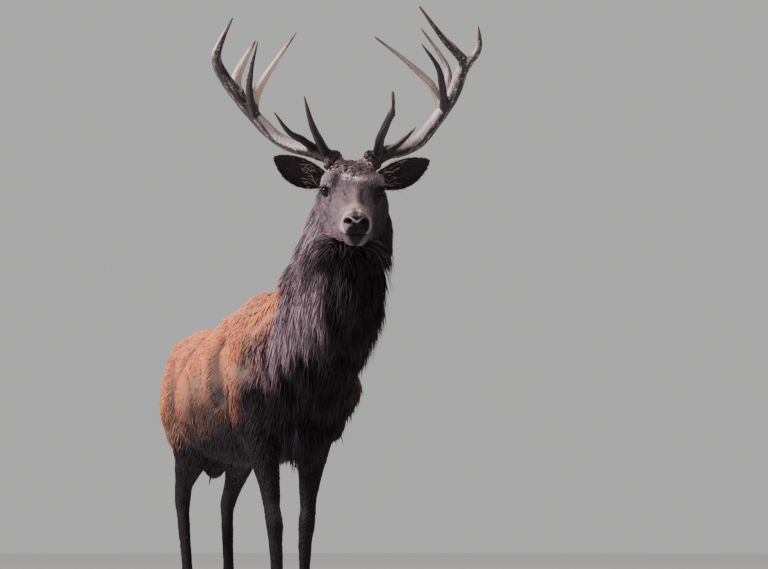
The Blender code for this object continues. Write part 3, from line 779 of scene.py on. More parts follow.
def body_zones(at, folds, ragged):
    """Mane, dark and flank, from the throat back, by places in the stag's plan in metres; dark and
    flank also carry painted shade.
    """
    x, y, z = at.spots.T
    # Below the lit flank's lower edge: dark, partly the hair's own dark and mud, partly painted shade.
    low = smooth(0.026, -0.018, z - np.interp(y, *np.array(DARK_EDGE).T) + ragged * 0.020)
    # Painted shade: the lower flank darker towards the bottom and the front, and in the hollows of the
    # folds, most on the stag's right.
    flank_shade = smooth(0.900, 0.755, z + ragged * 0.035) * (smooth(0.32, 0.10, y) * 0.45 + 0.42)
    fold_shade = smooth(-0.08, -0.62, folds) * smooth(0.95, 0.84, z) * smooth(0.10, -0.10, y)
    flank_shade = most(flank_shade, fold_shade * (0.95 - 0.6 * (x > 0)))
    end = np.interp(z, *np.array(MANE_END).T)
    fade = np.interp(z, (0.90, 1.15), (0.11, 0.050))
    mane = smooth(1.0, -0.4, (y - end + ragged * 0.018) / fade)
    height, middle_x, middle_y, dark_from = np.array(NECK_LINE).T
    around = np.degrees(np.arctan2(x - np.interp(z, height, middle_x),
                                   np.interp(z, height, middle_y) - y))
    turn = around - np.interp(z, height, dark_from) + ragged * 9
    below = 1 - at.head * smooth(-0.130, -0.105, at.places[:, 2])
    # The dark throat: its own dark hair, carried round the stag's left side of the neck as painted
    # shade.
    throat = smooth(-13, 11, turn) * (1 - 0.5 * smooth(130, 170, turn))
    throat *= mane * below * smooth(1.50, 1.38, z)
    # Painted shade over the far shoulder, on the stag's left side.
    reach = np.interp(z, (0.75, 1.10), (0.12, -0.20))
    far_shoulder_shade = smooth(0.06, 0.12, x) * smooth(1.18, 1.04, z) * smooth(0.07, -0.07, y - reach)
    dark = most(np.minimum(most(low * below, throat * 0.98), 1),
                flank_shade * below * (1 - mane),
                0.92 * far_shoulder_shade * below,
                # Painted shade in the hollows of the folds.
                0.55 * smooth(-0.15, -0.80, folds),
                # Painted shade on the chest along the mane's lower edge.
                1.4 * mane * (1 - mane) * smooth(1.12, 1.00, z),
                # Dark legs: partly their own dark hair and mud, partly painted shade.
                0.85 * at.lower_leg,
                at.upper_leg * smooth(0.80, 0.66, z + ragged * 0.03))
    # Flank: the greyer hair of the flank, darker lower down as painted shade.
    flank = most(smooth(1.06, 0.84, z + ragged * 0.05) * smooth(0.50, 0.20, y),
                 smooth(0.10, 0.30, y) * smooth(0.98, 0.78, z + ragged * 0.03) * 0.8,
                 smooth(-0.46, -0.56, y) * smooth(1.16, 1.02, z))
    mane = most(mane * (1 - (at.upper_leg + at.lower_leg)), at.head)
    # The folds paint shade in their hollows and highlight on their ridges.
    return mane, dark, np.clip(flank - 0.6 * folds, 0, 1)


def nose_zones(at, face):
    """Pale, black, warm and dark on the muzzle, among them a painted glint, a painted reflection and
    painted shade, by places in the head's axes in metres.
    """
    left, u, v = at.places.T
    w = np.abs(left)
    folded = np.stack((w, u, v), 1)
    front = smooth(0.345, 0.365, u)
    # The nose pad's outline: 1 on a ring round its front.
    ring = np.sqrt((w / 0.0395) ** 2 + ((v + 0.020) / 0.0365) ** 2)
    arch = hump((ring, 1.11, 0.060)) * front * smooth(-0.052, -0.036, v)
    # Painted shade: the pale rim dimmed on the stag's left side.
    arch *= 1 - 0.60 * smooth(0.018, 0.036, left)
    bridge = smooth(0.325, 0.370, u) * smooth(0.004, 0.018, v) * (1 - front * smooth(1.3, 1.1, ring))
    cheek = hump((w, 0.042, 0.012), (u, 0.335, 0.018)) * smooth(-0.02, 0.0, v)
    stripe = hump((w, 0, 0.009)) * smooth(0.20, 0.24, u) * smooth(0.39, 0.37, u) * (v > 0)
    # Painted reflection: the upward-facing top of the wet nose pad painted warm instead of black.
    pad_reflection = smooth(1.02, 0.94, ring) * front * smooth(0.002, 0.010, v)
    # Painted highlight: the wet glint along the ridge between the nostrils, dimmer on the stag's left.
    painted_glint = hump((along_path(folded, GULL_WING), 0, 0.0040)) * (1 - 0.5 * smooth(0, 0.02, left))
    lip_edge = w - 0.0135 + 0.70 * (v + 0.0196) + 0.0035 * ripple(at.points, 0.014, 27)
    upper_lip = smooth(-0.002, 0.009, lip_edge) * smooth(-0.014, -0.020, v) * smooth(0.37, 0.38, u)
    # The pale lip only on the stag's right; on the left the nose's black stays there as painted shade.
    upper_lip *= 0.85 * smooth(-0.053, -0.043, v) * smooth(0.004, -0.004, left)
    # The nose pad black, less so on its top, where the painted reflection lies.
    nose = smooth(1.03, 0.94, ring) * smooth(0.372, 0.390, u) * (1 - 0.60 * smooth(0.002, 0.010, v))
    nose *= (1 - 0.95 * painted_glint) * (1 - upper_lip)
    lips = hump((along_path(folded, MOUTH), 0, 0.0065))
    notch = 0.020 * np.clip(1 + (v + 0.058) / 0.037, 0, 1.2)
    middle_lip = smooth(0.385, 0.395, u) * smooth(-0.100, -0.090, v) * smooth(0.004, -0.002, w - notch)
    chin = smooth(0.345, 0.375, u) * smooth(-0.048, -0.060, v)
    lobes = chin * hump((w - notch, 0.012, 0.010))
    return (arch * 0.70 + cheek * 0.30 + bridge * 0.32, face * painted_glint * front * 0.45,
            most(nose, lips * 0.95, middle_lip * (v < -0.045)),
            np.clip(stripe * 0.70 + bridge * 0.40 + pad_reflection * 0.8, 0, 1),
            face * upper_lip * 0.50, face * (0.80 * chin - 0.50 * lobes))


def head_zones(at, rims, ragged):
    """Pale, black, warm and dark over the head, painted highlights and shade among them, by places in
    its axes in metres.
    """
    left, u, v = at.places.T
    w = np.abs(left)
    folded = np.stack((w, u, v), 1)
    face = at.head * smooth(-0.02, 0.06, u)
    nose_pale, painted_glint, nose_black, nose_warm, upper_lip, chin = nose_zones(at, face)
    crown = face * smooth(0.135, 0.105, u + ragged * 0.012) * smooth(0.03, 0.06, v)
    # Painted shade in the gaps between the crown's curls, painted highlight on their tops.
    curl_shade = smooth(0.3, -0.5, ripple(at.points, 0.016, 19))
    # Painted shadow under the jaw, kept to the stag's left side and the front.
    jaw_shadow = face * smooth(-0.108, -0.132, v) * smooth(0.385, 0.370, u) * 1.3
    jaw_shadow *= most(smooth(-0.02, 0.03, left), smooth(0.20, 0.26, u))
    mottle = smooth(0.1, 0.9, ripple(at.points, 0.017, 15)) * 0.40
    mottle += smooth(0.2, 0.9, ripple(at.points, 0.008, 17)) * 0.32
    shaded = smooth(0.034, 0.064, left) * smooth(0.068, 0.040, v) * smooth(0.35, 0.29, u)
    shaded *= 1 - 0.35 * smooth(0.20, 0.26, u) * smooth(0.075, 0.060, left)
    temple = hump((u, 0.100, 0.026), (v, 0.005, 0.040)) * (w > 0.05)
    round_eyes = [0.85 * smooth(0.030, 0.019, np.linalg.norm(at.points - eye, axis=1))
                  for eye in EYES.values()]
    spot = hump((w, 0.057, 0.011), (u, 0.192, 0.013)) * (v > 0.02)
    # Painted shade along the crease beside the nose bridge, on the stag's left side only.
    crease_shade = hump((along_path(folded, CREASE), 0, 0.0055)) * (left > 0)
    pit = hump((along_path(folded, PIT), 0, 0.0065))
    # Painted highlights over the forehead's curls, with painted shade in slits between them.
    slit_shade = smooth(0.05, 0.35, ripple(at.places * (0.35, 1, 1), 0.0130, 23))
    forehead = face * np.exp(-(w / 0.040) ** 4 - ((u - 0.160) / 0.019) ** 2) * smooth(0.03, 0.05, v)
    # Painted highlight on the brow domes.
    brow = hump((w, 0.084, 0.018), (u, 0.155, 0.026)) * smooth(0.030, 0.045, v)
    dark = most(crown * curl_shade * 0.42, jaw_shadow * 0.80,
                at.head * most(shaded * 0.88, temple * 0.80, mottle, *round_eyes),
                face * most(spot * 0.90, crease_shade * 0.90, pit),
                forehead * slit_shade * 0.9, chin, at.ear * 0.35)
    pale = face * np.clip(forehead * (1 - slit_shade) * 1.20 + brow * 0.30 + nose_pale
                          + crown * (1 - curl_shade) * 0.22, 0, 1)
    inner_ear = at.ear * smooth(0.0, 0.35, at.normals @ FACING)
    black = most(np.clip(face * nose_black, 0, 1), rims * 0.95, inner_ear * 0.80)
    warm = most(face * nose_warm, at.tail * 0.5, crown * 0.22, upper_lip)
    return most(pale, painted_glint), black, warm, dark


def coat_zones(at, rims, folds):
    """The markings, with painted light and shade, as two sets of masks: mane, dark, flank; and pale,
    black, warm.
    """
    y, z = at.spots[:, 1], at.spots[:, 2]
    ragged = ripple(at.points * (1, 1, 0.45), 0.055, 3) * 0.5 + ripple(at.points, 0.16, 4) * 0.5
    mane, dark, flank = body_zones(at, folds, ragged)
    pale, black, warm, head_dark = head_zones(at, rims, ragged)
    # Painted highlight: the upward-facing back before the withers painted paler.
    withers_highlight = smooth(0.0, 0.7, at.normals[:, 2]) * smooth(-0.15, -0.40, y) * (1 - mane)
    patch = smooth(0.47, 0.53, y) * smooth(0.80, 0.86, z) * (1 - at.tail)
    blank = np.ones(len(y))
    body = np.stack((most(mane, at.ear), most(dark, head_dark), flank, blank), 1)
    face = np.stack((most(pale, patch * 0.42, withers_highlight * 0.10), black, warm, blank), 1)
    return np.clip(body, 0, 1), np.clip(face, 0, 1)


def lie_of_coat(at):
    """Which way the hair lies at each point, along the skin."""
    x, y, z = at.spots.T
    ones, zero = np.ones(len(x)), np.zeros(len(x))
    left, ahead, up = at.places.T

    def steady(*direction):
        """One direction for every point."""
        return np.broadcast_to(np.array(direction, float), (len(x), 3))

    def turning(way, next_way, share):
        """One field of directions going over into another."""
        return way * (1 - share[:, None]) + next_way * share[:, None]

    trunk = np.stack((np.sign(x) * 0.15, ones, -0.60 * ones), 1)
    trunk = turning(trunk, steady(0, 0.55, -1), smooth(0.95, 0.75, z))
    trunk = turning(trunk, steady(0, 0.28, -1), smooth(0.25, 0.50, y))
    trunk = turning(trunk, steady(0, 0.40, -1), smooth(-0.30, -0.50, y))
    neck = steady(0, 0.16, -1) + np.stack((0.10 * ripple(at.points, 0.10, 8), zero, zero), 1)
    cheek = most(smooth(0.27, 0.13, ahead) * smooth(0.035, -0.020, up), smooth(0.02, -0.03, ahead))
    face = turning(steady(*turned_out((0, -1, 0))), steady(0.10, 0.42, -0.95), cheek)
    brow = turned_out(np.stack((np.sign(left) * 0.8, -ones, 0.3 * ones), 1))
    round_eye = most(*[np.exp(-np.sum((at.points - eye) ** 2, 1) / 0.035 ** 2)
                       for eye in EYES.values()])
    face = face + brow * (round_eye * 0.6)[:, None]
    ear = turned_out(np.sign(left)[:, None] * np.array((1, 0, 0)) + np.array((0, 0.1, 0.45)))
    fields = (trunk, neck, face, steady(0, 0.1, -1), steady(0, 0.30, -1), steady(0, 0.06, -1), ear)
    flow = sum(unit(field) * share[:, None] for field, share in zip(fields, at.shares.T))
    return flattened(flow + 0.10 * swirl(at.points, 0.09, 5), at.normals)


def refine(item, ahead, above, across, by_eyes):
    """Subdivide the faces in front of and above these places of the head, and near the eyes."""
    pick(item)
    mesh = item.data
    places = into_head(fetch(mesh.polygons, "center", 3))
    w, u, v = np.abs(places[:, 0]), places[:, 1], places[:, 2]
    chosen = (u > ahead) & (u < 0.5) & (v > above) & (w < across)
    chosen |= np.linalg.norm(one_side(places) - EYE_PLACE, axis=1) < by_eyes
    mesh.polygons.foreach_set("select", chosen)
    mesh.edges.foreach_set("select", np.zeros(len(mesh.edges), bool))
    bpy.ops.object.mode_set(mode="EDIT")
    bpy.ops.mesh.select_mode(type="FACE")
    bpy.ops.mesh.subdivide(number_cuts=1, smoothness=0.0)
    bpy.ops.object.mode_set(mode="OBJECT")


def build_skin():
    """One skin over head, neck, trunk, legs, tail and ears, under the coat."""
    item = copy_of(FLESH, "stag_skin")
    edit(item, bpy.ops.transform.shrink_fatten, value=SWELLING)
    fuse(item, VOXEL, 3)
    for limits in FINER:
        refine(item, *limits)
    mesh = item.data
    edges = edges_of(mesh)
    points = coordinates(mesh)
    shares = spread(part_shares(points), edges, 8)
    ahead = into_head(points)[:, 1]
    on_face = smooth(0.06, 0.12, ahead) * shares[:, 2]
    points = spread(points, edges, 3, on_face * 0.8 + 0.1 * (1 - on_face))
    nape = smooth(0.040, -0.010, ahead) * smooth(1.25, 1.38, points[:, 2])
    points = spread(points, edges, 25, 0.6 * nape)
    place(mesh, points)
    normals = normals_of(mesh)
    depth = spread(shares @ np.array([COAT_DEPTH[part] for part in PARTS]), edges, 6)
    points -= normals * (depth * (1 - 0.6 * smooth(0.10, 0.06, points[:, 2])))[:, None]
    folds = fold_flanks(points, normals, shares[:, 0] + shares[:, 4], shares[:, 1])
    rims = sculpt_head(points, normals)
    place(mesh, points)
    joined("stag_skin", item, *[ear_surface(side) for side in "LR"])
    points = coordinates(mesh)
    on_ears = len(points) - len(rims)
    ear_shares = np.eye(len(PARTS))[[PARTS.index("ear")] * on_ears]
    rims, folds = (np.concatenate((field, np.zeros(on_ears))) for field in (rims, folds))
    at = Body(points, normals_of(mesh), np.vstack((shares, ear_shares)))
    body, face = coat_zones(at, rims, folds)
    write(mesh, "zones_body", body)
    write(mesh, "zones_face", face)
    write(mesh, "lie", lie_of_coat(at))
    write(mesh, "shares_a", at.shares[:, :4])
    write(mesh, "shares_b", np.hstack((at.shares[:, 4:], 0.5 + 0.5 * folds[:, None])))
    if sum(len(face.vertices) - 2 for face in mesh.polygons) > MOST_SKIN_TRIANGLES:
        raise RuntimeError("the skin has too many triangles")
    settle(item, FLESH + EARS, skin_finish())


# ---------------------------------------------------------------- coat

# How many tufts grow on the small parts.
SMALL_PARTS = dict(ear_back=4200, ear_rim=1500, ear_bed=150, ear_lining=2200, tail=1500, belly=2600,
                   flank_edge=2400)
# The size of a tuft's patch on the OFBake map.
PATCH = 0.003


class Skin(Body):
    """The finished skin, with all that is kept on its points."""

    def __init__(self):
        item = bpy.data.objects.get("stag_skin")
        if item is None:
            raise RuntimeError("build the skin before its coat")
        self.mesh = item.data
        shares = np.hstack((read(self.mesh, "shares_a", 4), read(self.mesh, "shares_b", 4)))
        super().__init__(coordinates(self.mesh), normals_of(self.mesh), shares)
        self.body = read(self.mesh, "zones_body", 4)
        self.face = read(self.mesh, "zones_face", 4)
        self.lie = read(self.mesh, "lie", 3)


class Roots(Body):
    """Where tufts grow: even random places on the skin, with all that the skin says there."""

    def __init__(self, skin, weight, count, seed):
        skin.mesh.calc_loop_triangles()
        triangles = fetch(skin.mesh.loop_triangles, "vertices", 3, np.int32)
        a, b, c = (skin.points[triangles[:, k]] for k in range(3))
        areas = np.linalg.norm(np.cross(b - a, c - a), axis=1) * 0.5
        total = np.cumsum(areas * weight[triangles].mean(axis=1))
        self.rng = np.random.default_rng(seed)
        self.count = count
        marks = (np.arange(count) + self.rng.random(count)) * total[-1] / count
        self.corners = triangles[np.minimum(np.searchsorted(total, marks), len(total) - 1)]
        first, second = self.rng.random(count), self.rng.random(count)
        over = first + second > 1
        first[over], second[over] = 1 - first[over], 1 - second[over]
        self.blend = np.stack((1 - first - second, first, second), 1)
        super().__init__(self.of(skin.points), unit(self.of(skin.normals)), self.of(skin.shares))
        self.lie = flattened(self.of(skin.lie), self.normals)
        self.body = self.of(skin.body)
        self.face = self.of(skin.face)

    def of(self, values):
        """Values kept on the skin's points, read at the roots."""
        return np.einsum("ij,ijk->ik", self.blend, values[self.corners])

    def between(self, low, high):
        """A random number for each root."""
        return self.rng.uniform(low, high, self.count)


def unwrap(at, kind):
    """The roots' places on a flat unwrap of the part they grow on."""
    x, y, z = at.spots.T
    if kind == "legs":
        column = (x > 0) + 2 * (y > 0)
        middle = np.array([x[column == k].mean() if np.any(column == k) else 0 for k in range(4)])
        turn = np.arctan2(x - middle[column], y - np.where(y > 0, 0.33, -0.45)) / (2 * math.pi)
        flat = (((turn + 0.5) * 0.94 + 0.03 + column) / 4, z / 1.15)
    else:
        left, ahead, up = at.places.T
        across, down, along, span = {
            "head": (left, up + 0.03, ahead + 0.15, 0.62),
            "neck": (x - 0.04, -(y + 0.60), z - 0.70, 0.90),
            "trunk": (x, z - 0.92, y + 0.80, 1.50),
        }[kind]
        flat = (np.arctan2(across, down) / (2 * math.pi) + 0.5, np.clip(along / span, 0, 1))
    return np.stack(flat, 1) * 0.97 + 0.01


def tufts(name, roots, kind, length, width, lift, droop, steps=2, wave=0.03, turns=1.0, stray=0.15,
          flat=0.32, sink=0.0015, tone=None, hang=0.0, sway=0.0):
    """Many thin tapering tufts as one mesh: each rises from the skin and lies back along it."""
    count = roots.count
    rng = roots.rng
    yaw = (rng.normal(0, stray, count) + sway * ripple(roots.points, 0.07, 12))[:, None]
    side = np.cross(roots.lie, roots.normals)
    way = unit(roots.lie * np.cos(yaw) + side * np.sin(yaw))
    side = np.cross(way, roots.normals)
    length, width, lift, droop, hang = (np.broadcast_to(value, count)
                                        for value in (length, width, lift, droop, hang))
    phase = rng.uniform(0, ROUND, count)
    place_at = roots.points - roots.normals * sink
    rings, tips = [], []
    for step in range(steps + 1):
        share = step / steps
        angle = (lift + (droop - lift) * max(share - 0.5 / steps, 0))[:, None]
        aim = way * np.cos(angle) + roots.normals * np.sin(angle)
        up = roots.normals * np.cos(angle) - way * np.sin(angle)
        if np.any(hang):
            pull = np.outer(hang * share, (0.0, 0.0, -1.0))
            aim = unit(aim + pull - up * np.minimum(np.sum(up * pull, 1), 0)[:, None])
            side = unit(np.cross(aim, up))
            up = np.cross(side, aim)
        if step:
            place_at = place_at + (length / steps)[:, None] * aim
        swing = wave * length * np.sin(turns * ROUND * share + phase) * share
        centre = place_at + side * swing[:, None]
        if step == steps:
            rings.append(centre[:, None, :])
            tips.append(np.ones(1))
            continue
        half = (width * 0.5 * (1 - share ** 2.2) ** 0.8 * (0.72 + 0.28 * math.sin(3.0 * share)))
        half = half[:, None]
        rings.append(np.stack((centre - side * half, centre + side * half,
                               centre + up * half * flat * 2), 1))
        tips.append(np.full(3, share))
    points = np.concatenate(rings, axis=1)
    size = points.shape[1]
    # A triangle closes the root, two close each side of a ring, and three meet at the tip.
    pattern = [(0, 1, 2)]
    for base in range(0, 3 * steps, 3):
        for a, b in ((0, 1), (1, 2), (2, 0)):
            if base + 3 == size - 1:
                pattern.append((base + b, base + a, size - 1))
            else:
                pattern.append((base + b, base + a, base + 3 + a))
                pattern.append((base + b, base + 3 + a, base + 3 + b))
    faces = (np.array(pattern) + (np.arange(count) * size)[:, None, None]).reshape(-1, 3)
    tip = np.concatenate(tips)
    across = np.array((0.0, 1.0, 0.5) * steps + (0.5,))
    patch = np.stack((across - 0.5, tip - 0.5), 1) * PATCH
    corners = unwrap(roots, kind)[:, None, :] + patch[None]
    item = mesh_from(name, points.reshape(-1, 3), faces, corners.reshape(-1, 2))
    if tone is None:
        tone = rng.random(count)
    write(item.data, "tone", np.repeat(np.clip(tone, 0, 1), size))
    write(item.data, "tip", np.tile(tip, count))
    write(item.data, "zones_body", np.repeat(roots.body, size, axis=0))
    write(item.data, "zones_face", np.repeat(roots.face, size, axis=0))
    return item


def clump_tone(roots, size, seed, squash=1.0):
    """Tones that gather in clumps, so that neighbouring tufts look alike."""
    clumps = ripple(roots.points * (1, 1, squash), size, seed)
    return 0.5 + 0.42 * clumps + roots.rng.normal(0, 0.13, roots.count)


def strand_tone(roots, amount):
    """Tones of the mane: painted light on its strands and painted shade in the gaps between them, with
    random tone besides.
    """
    tone = 0.45 + 0.38 * streaks_of_mane(roots.points)
    tone += 0.25 * ripple(roots.points * (1, 1, 0.25), 0.014, 13)
    return (tone + roots.rng.normal(0, 0.12, roots.count)) * amount


def coat_trunk(side):
    """Short body hair on one side of the trunk, lying back and down."""
    settings = bpy.context.scene.stag_coat
    skin = Skin()
    behind = skin.neck * smooth(0.75, 0.35, skin.body[:, 0])
    weight = (skin.trunk + behind) * (skin.spots[:, 0] * HANDS[side] > 0)
    roots = Roots(skin, weight, settings.trunk_tufts, 11 + HANDS[side])
    low = roots.body[:, 1]
    length = settings.body_length * roots.between(0.75, 1.25) * (1 + 0.3 * low)
    lift = np.radians(roots.between(4, 9)) + 0.04 * low
    # Tufts on the folds' ridges painted lighter and those in their hollows darker: painted light and
    # shade.
    tone = clump_tone(roots, 0.035, 21, 0.4) + 0.5 * (roots.shares[:, -1] - 0.5)
    item = tufts("coat_trunk_" + side, roots, "trunk", length, roots.between(0.0040, 0.0066),
                 lift, np.radians(roots.between(0, 5)), stray=0.14, tone=tone, sway=0.2)
    settle(item, (), coat_finish("stag_body_hair_" + side, 0.42, 0.22))


def mane_weight(skin, side, half):
    """How thickly the mane grows at each point of the skin, in one of its quarters."""
    z = skin.points[:, 2]
    middle = np.interp(z, (0.9, 1.3), (0.02, 0.066)) + PLAN_SHIFT[0]
    ahead, up = skin.places[:, 1], skin.places[:, 2]
    edge = up + 0.055 + np.maximum(ahead - 0.12, 0) * 0.5
    throat = skin.head * smooth(0.012, -0.020, edge) * smooth(0.27, 0.23, ahead)
    nape = skin.head * smooth(0.02, -0.03, ahead)
    weight = most(skin.neck * smooth(0.15, 0.60, skin.body[:, 0]), throat * 1.3, nape * 0.8,
                  skin.trunk * smooth(0.65, 0.95, skin.body[:, 0]) * 0.6)
    lower = smooth(1.205, 1.195, z)
    return weight * ((skin.points[:, 0] - middle) * HANDS[side] > 0) * (
        lower if half == "lower" else 1 - lower)


def coat_neck(side, half):
    """A quarter of the mane: long wavy locks over a filling of shorter ones."""
    settings = bpy.context.scene.stag_coat
    skin = Skin()
    seed = HANDS[side] + (100 if half == "lower" else 0)
    weight = mane_weight(skin, side, half)
    under = Roots(skin, weight, settings.mane_locks // 3, seed + 31)
    filling = tufts("mane_filling", under, "neck", under.between(0.045, 0.075),
                    under.between(0.006, 0.010), np.radians(16), np.radians(2), wave=0.04,
                    stray=0.2, hang=0.8, tone=strand_tone(under, 0.5))
    roots = Roots(skin, weight, settings.mane_locks, seed + 41)
    height = roots.points[:, 2]
    mane = smooth(0.3, 0.8, roots.body[:, 0])
    strand = streaks_of_mane(roots.points)
    nape = smooth(-0.1, 0.5, roots.normals @ np.array((0, 0.8, 0.6)))
    cheek = roots.head * smooth(-0.02, 0.10, roots.places[:, 1])
    full_cheek = np.minimum(cheek * 1.5, 1)
    under_jaw = roots.head * smooth(-0.095, -0.135, roots.places[:, 2])
    shadow = cheek * smooth(0.0, 0.06, roots.places[:, 0])
    near_side = smooth(0.3, 0.8, -roots.normals[:, 0])
    fill = hump((height, 1.335, 0.040)) * near_side
    calm = hump((height, 1.200, 0.065)) * near_side
    length = settings.mane_length * roots.between(0.60, 1.25) * (1 + 0.15 * strand)
    length = length * (1 - 0.60 * nape)
    length = length * (1 + 0.40 * fill + 0.45 * under_jaw) * (1 - 0.30 * shadow - 0.3 * calm)
    length = length * (1 + 0.6 * np.minimum(cheek, 1) * roots.rng.random(roots.count) ** 2)
    length = length * (0.40 + 0.60 * mane) * (1 - 0.42 * full_cheek)
    lift = np.radians(roots.between(7, 17)) * (0.5 + 0.5 * mane) * (1 + 0.5 * strand)
    lift = lift * (1 - 0.4 * full_cheek) * (1 - 0.85 * nape) * (1 - 0.5 * shadow)
    lift = (lift + 0.34 * fill) * (1 - 0.85 * calm) * (1 - 0.5 * under_jaw)
    droop = np.radians(roots.between(-4, 7)) * mane
    stand = (roots.rng.random(roots.count) < 0.05) * roots.body[:, 1] * mane
    # Painted light: locks lighter where they are not dark, more on the stag's right side and high on
    # the neck.
    light = (1 - roots.body[:, 1]) * (1 - 0.4 * roots.head)
    painted_light_tone = strand_tone(roots, 1.0) + (0.12 + 0.16 * near_side) * light
    painted_light_tone += 0.25 * smooth(1.15, 1.30, height) * near_side * light
    locks = tufts("mane_locks", roots, "neck", length, roots.between(0.0038, 0.0078),
                  lift + 0.22 * stand, droop + 0.16 * stand, steps=4, wave=0.050, turns=1.2,
                  stray=0.10, flat=0.30, tone=painted_light_tone, hang=1.3 + 1.2 * under_jaw, sway=0.28)
    finish = coat_finish("stag_mane_hair_" + side + "_" + half, 0.84, 0.10)
    settle(joined("_".join(("coat_neck", side, half)), locks, filling), (), finish)


def coat_face():
    """Fine short hair over the face, smallest at the nose."""
    skin = Skin()
    ahead = skin.places[:, 1]
    bare = smooth(0.2, 0.5, skin.face[:, 1])
    weight = skin.head * (0.5 + smooth(0.05, 0.16, ahead)) * (1 - bare)
    weight *= 1 - smooth(0.383, 0.388, ahead) * smooth(-0.022, -0.012, skin.places[:, 2])
    roots = Roots(skin, weight, bpy.context.scene.stag_coat.face_tufts, 51)
    ahead, up = roots.places[:, 1], roots.places[:, 2]
    back = smooth(0.36, 0.02, ahead)
    temple = hump((ahead, 0.10, 0.028), (up, 0.005, 0.035))
    length = 0.0068 + 0.014 * back + 0.018 * smooth(-0.05, -0.12, up) * back + 0.009 * temple
    width = 0.0014 + 0.0021 * back
    tone = clump_tone(roots, 0.014, 25)
    item = tufts("coat_face", roots, "head", length * roots.between(0.8, 1.2),
                 width * roots.between(0.8, 1.25), np.radians(roots.between(8, 20)) + 0.20 * temple,
                 np.radians(2), stray=0.16, sink=0.0006, tone=tone)
    settle(item, (), coat_finish("stag_face_hair", 0.50, 0.25))


def coat_crown():
    """Curls between the antlers and over the forehead, and hair round the pedicles."""
    skin = Skin()
    left, ahead, up = skin.places.T
    weight = smooth(0.045, 0.060, up) * smooth(0.178, 0.150, ahead) * smooth(-0.03, 0.01, ahead)
    weight *= smooth(0.078, 0.064, np.abs(left))
    roots = Roots(skin, weight, bpy.context.scene.stag_coat.crown_curls, 61)
    top = smooth(0.150, 0.115, roots.places[:, 1])
    gather = swirl(roots.points, 0.016, 61)
    roots.lie = unit(roots.lie * 0.5 + gather * 1.6 + roots.rng.normal(0, 0.25, (roots.count, 3)))
    roots.lie = flattened(roots.lie, roots.normals)
    length = (0.013 + 0.024 * top) * roots.between(0.8, 1.3)
    tone = 1.9 * clump_tone(roots, 0.013, 27) - 0.10
    width = 0.0032 + roots.between(0.0020, 0.0062) * top
    item = tufts("coat_crown", roots, "head", length, width,
                 np.radians(14 + roots.between(36, 70) * top),
                 np.radians(-6 - roots.between(105, 185) * top),
                 steps=7, wave=0.08, stray=0.3, flat=0.40, tone=tone)
    settle(item, (), coat_finish("stag_crown_curls", 0.86, 0.20))


def coat_ears():
    """Short hair on the ears, a fringe on their rims and pale hair inside."""
    skin = Skin()
    facing = skin.normals @ FACING
    inside = smooth(-0.1, 0.3, facing)
    back = Roots(skin, skin.ear * (1 - inside), SMALL_PARTS["ear_back"], 71)
    outer = tufts("ear_back", back, "head", back.between(0.008, 0.013),
                  back.between(0.0018, 0.0030), np.radians(14), 0.0, sink=0.0004)
    rim = Roots(skin, skin.ear * hump((facing, 0, 0.35)), SMALL_PARTS["ear_rim"], 73)
    fringe = tufts("ear_fringe", rim, "head", rim.between(0.008, 0.014),
                   rim.between(0.0014, 0.0022), np.radians(30), np.radians(10), wave=0.05,
                   stray=0.35, sink=0.0004)
    near_head = smooth(0.165, 0.120, np.abs(skin.places[:, 0]))
    bed = Roots(skin, skin.ear * inside * near_head, SMALL_PARTS["ear_bed"], 75)
    bed.face[:, 0], bed.face[:, 1] = bed.between(0.15, 0.55), 0.0
    bed.lie = unit(bed.lie + 0.8 * swirl(bed.points, 0.030, 75))
    pale = tufts("ear_inside", bed, "head", bed.between(0.018, 0.036), bed.between(0.0022, 0.0040),
                 np.radians(bed.between(15, 30)), np.radians(-20), steps=4, wave=0.08, stray=0.2,
                 sink=0.0004)
    lining = Roots(skin, skin.ear * inside, SMALL_PARTS["ear_lining"], 77)
    down = tufts("ear_lining", lining, "head", lining.between(0.006, 0.010),
                 lining.between(0.0016, 0.0026), np.radians(16), 0.0, sink=0.0004)
    item = joined("coat_ears", outer, fringe, pale, down)
    settle(item, (), coat_finish("stag_ear_hair", 0.55, 0.25))


def coat_legs(pair):
    """Hair on a pair of legs: body hair above, close fine hair below, shorter at the feet."""
    settings = bpy.context.scene.stag_coat
    skin = Skin()
    chosen = (skin.spots[:, 1] > -0.05) == (pair == "hind")
    weight = (skin.upper_leg + skin.lower_leg * 1.9) * chosen
    weight = weight * smooth(0.030, 0.050, skin.points[:, 2])
    roots = Roots(skin, weight, settings.leg_tufts, 81 + (pair == "hind"))
    height = roots.points[:, 2]
    lower = smooth(0.75, 0.45, height)
    length = settings.body_length * (1 - 0.55 * lower) * roots.between(0.75, 1.25)
    length = length * (1 - 0.3 * smooth(0.09, 0.06, height))
    width = 0.0066 * (1 - 0.5 * lower) * roots.between(0.8, 1.25)
    tone = clump_tone(roots, 0.03, 29, 0.4)
    item = tufts("coat_legs_" + pair, roots, "legs", length, width,
                 np.radians(roots.between(7, 15)), np.radians(roots.between(0, 7)),
                 sink=0.0010, tone=tone)
    settle(item, (), coat_finish("stag_leg_hair_" + pair, 0.42, 0.14))


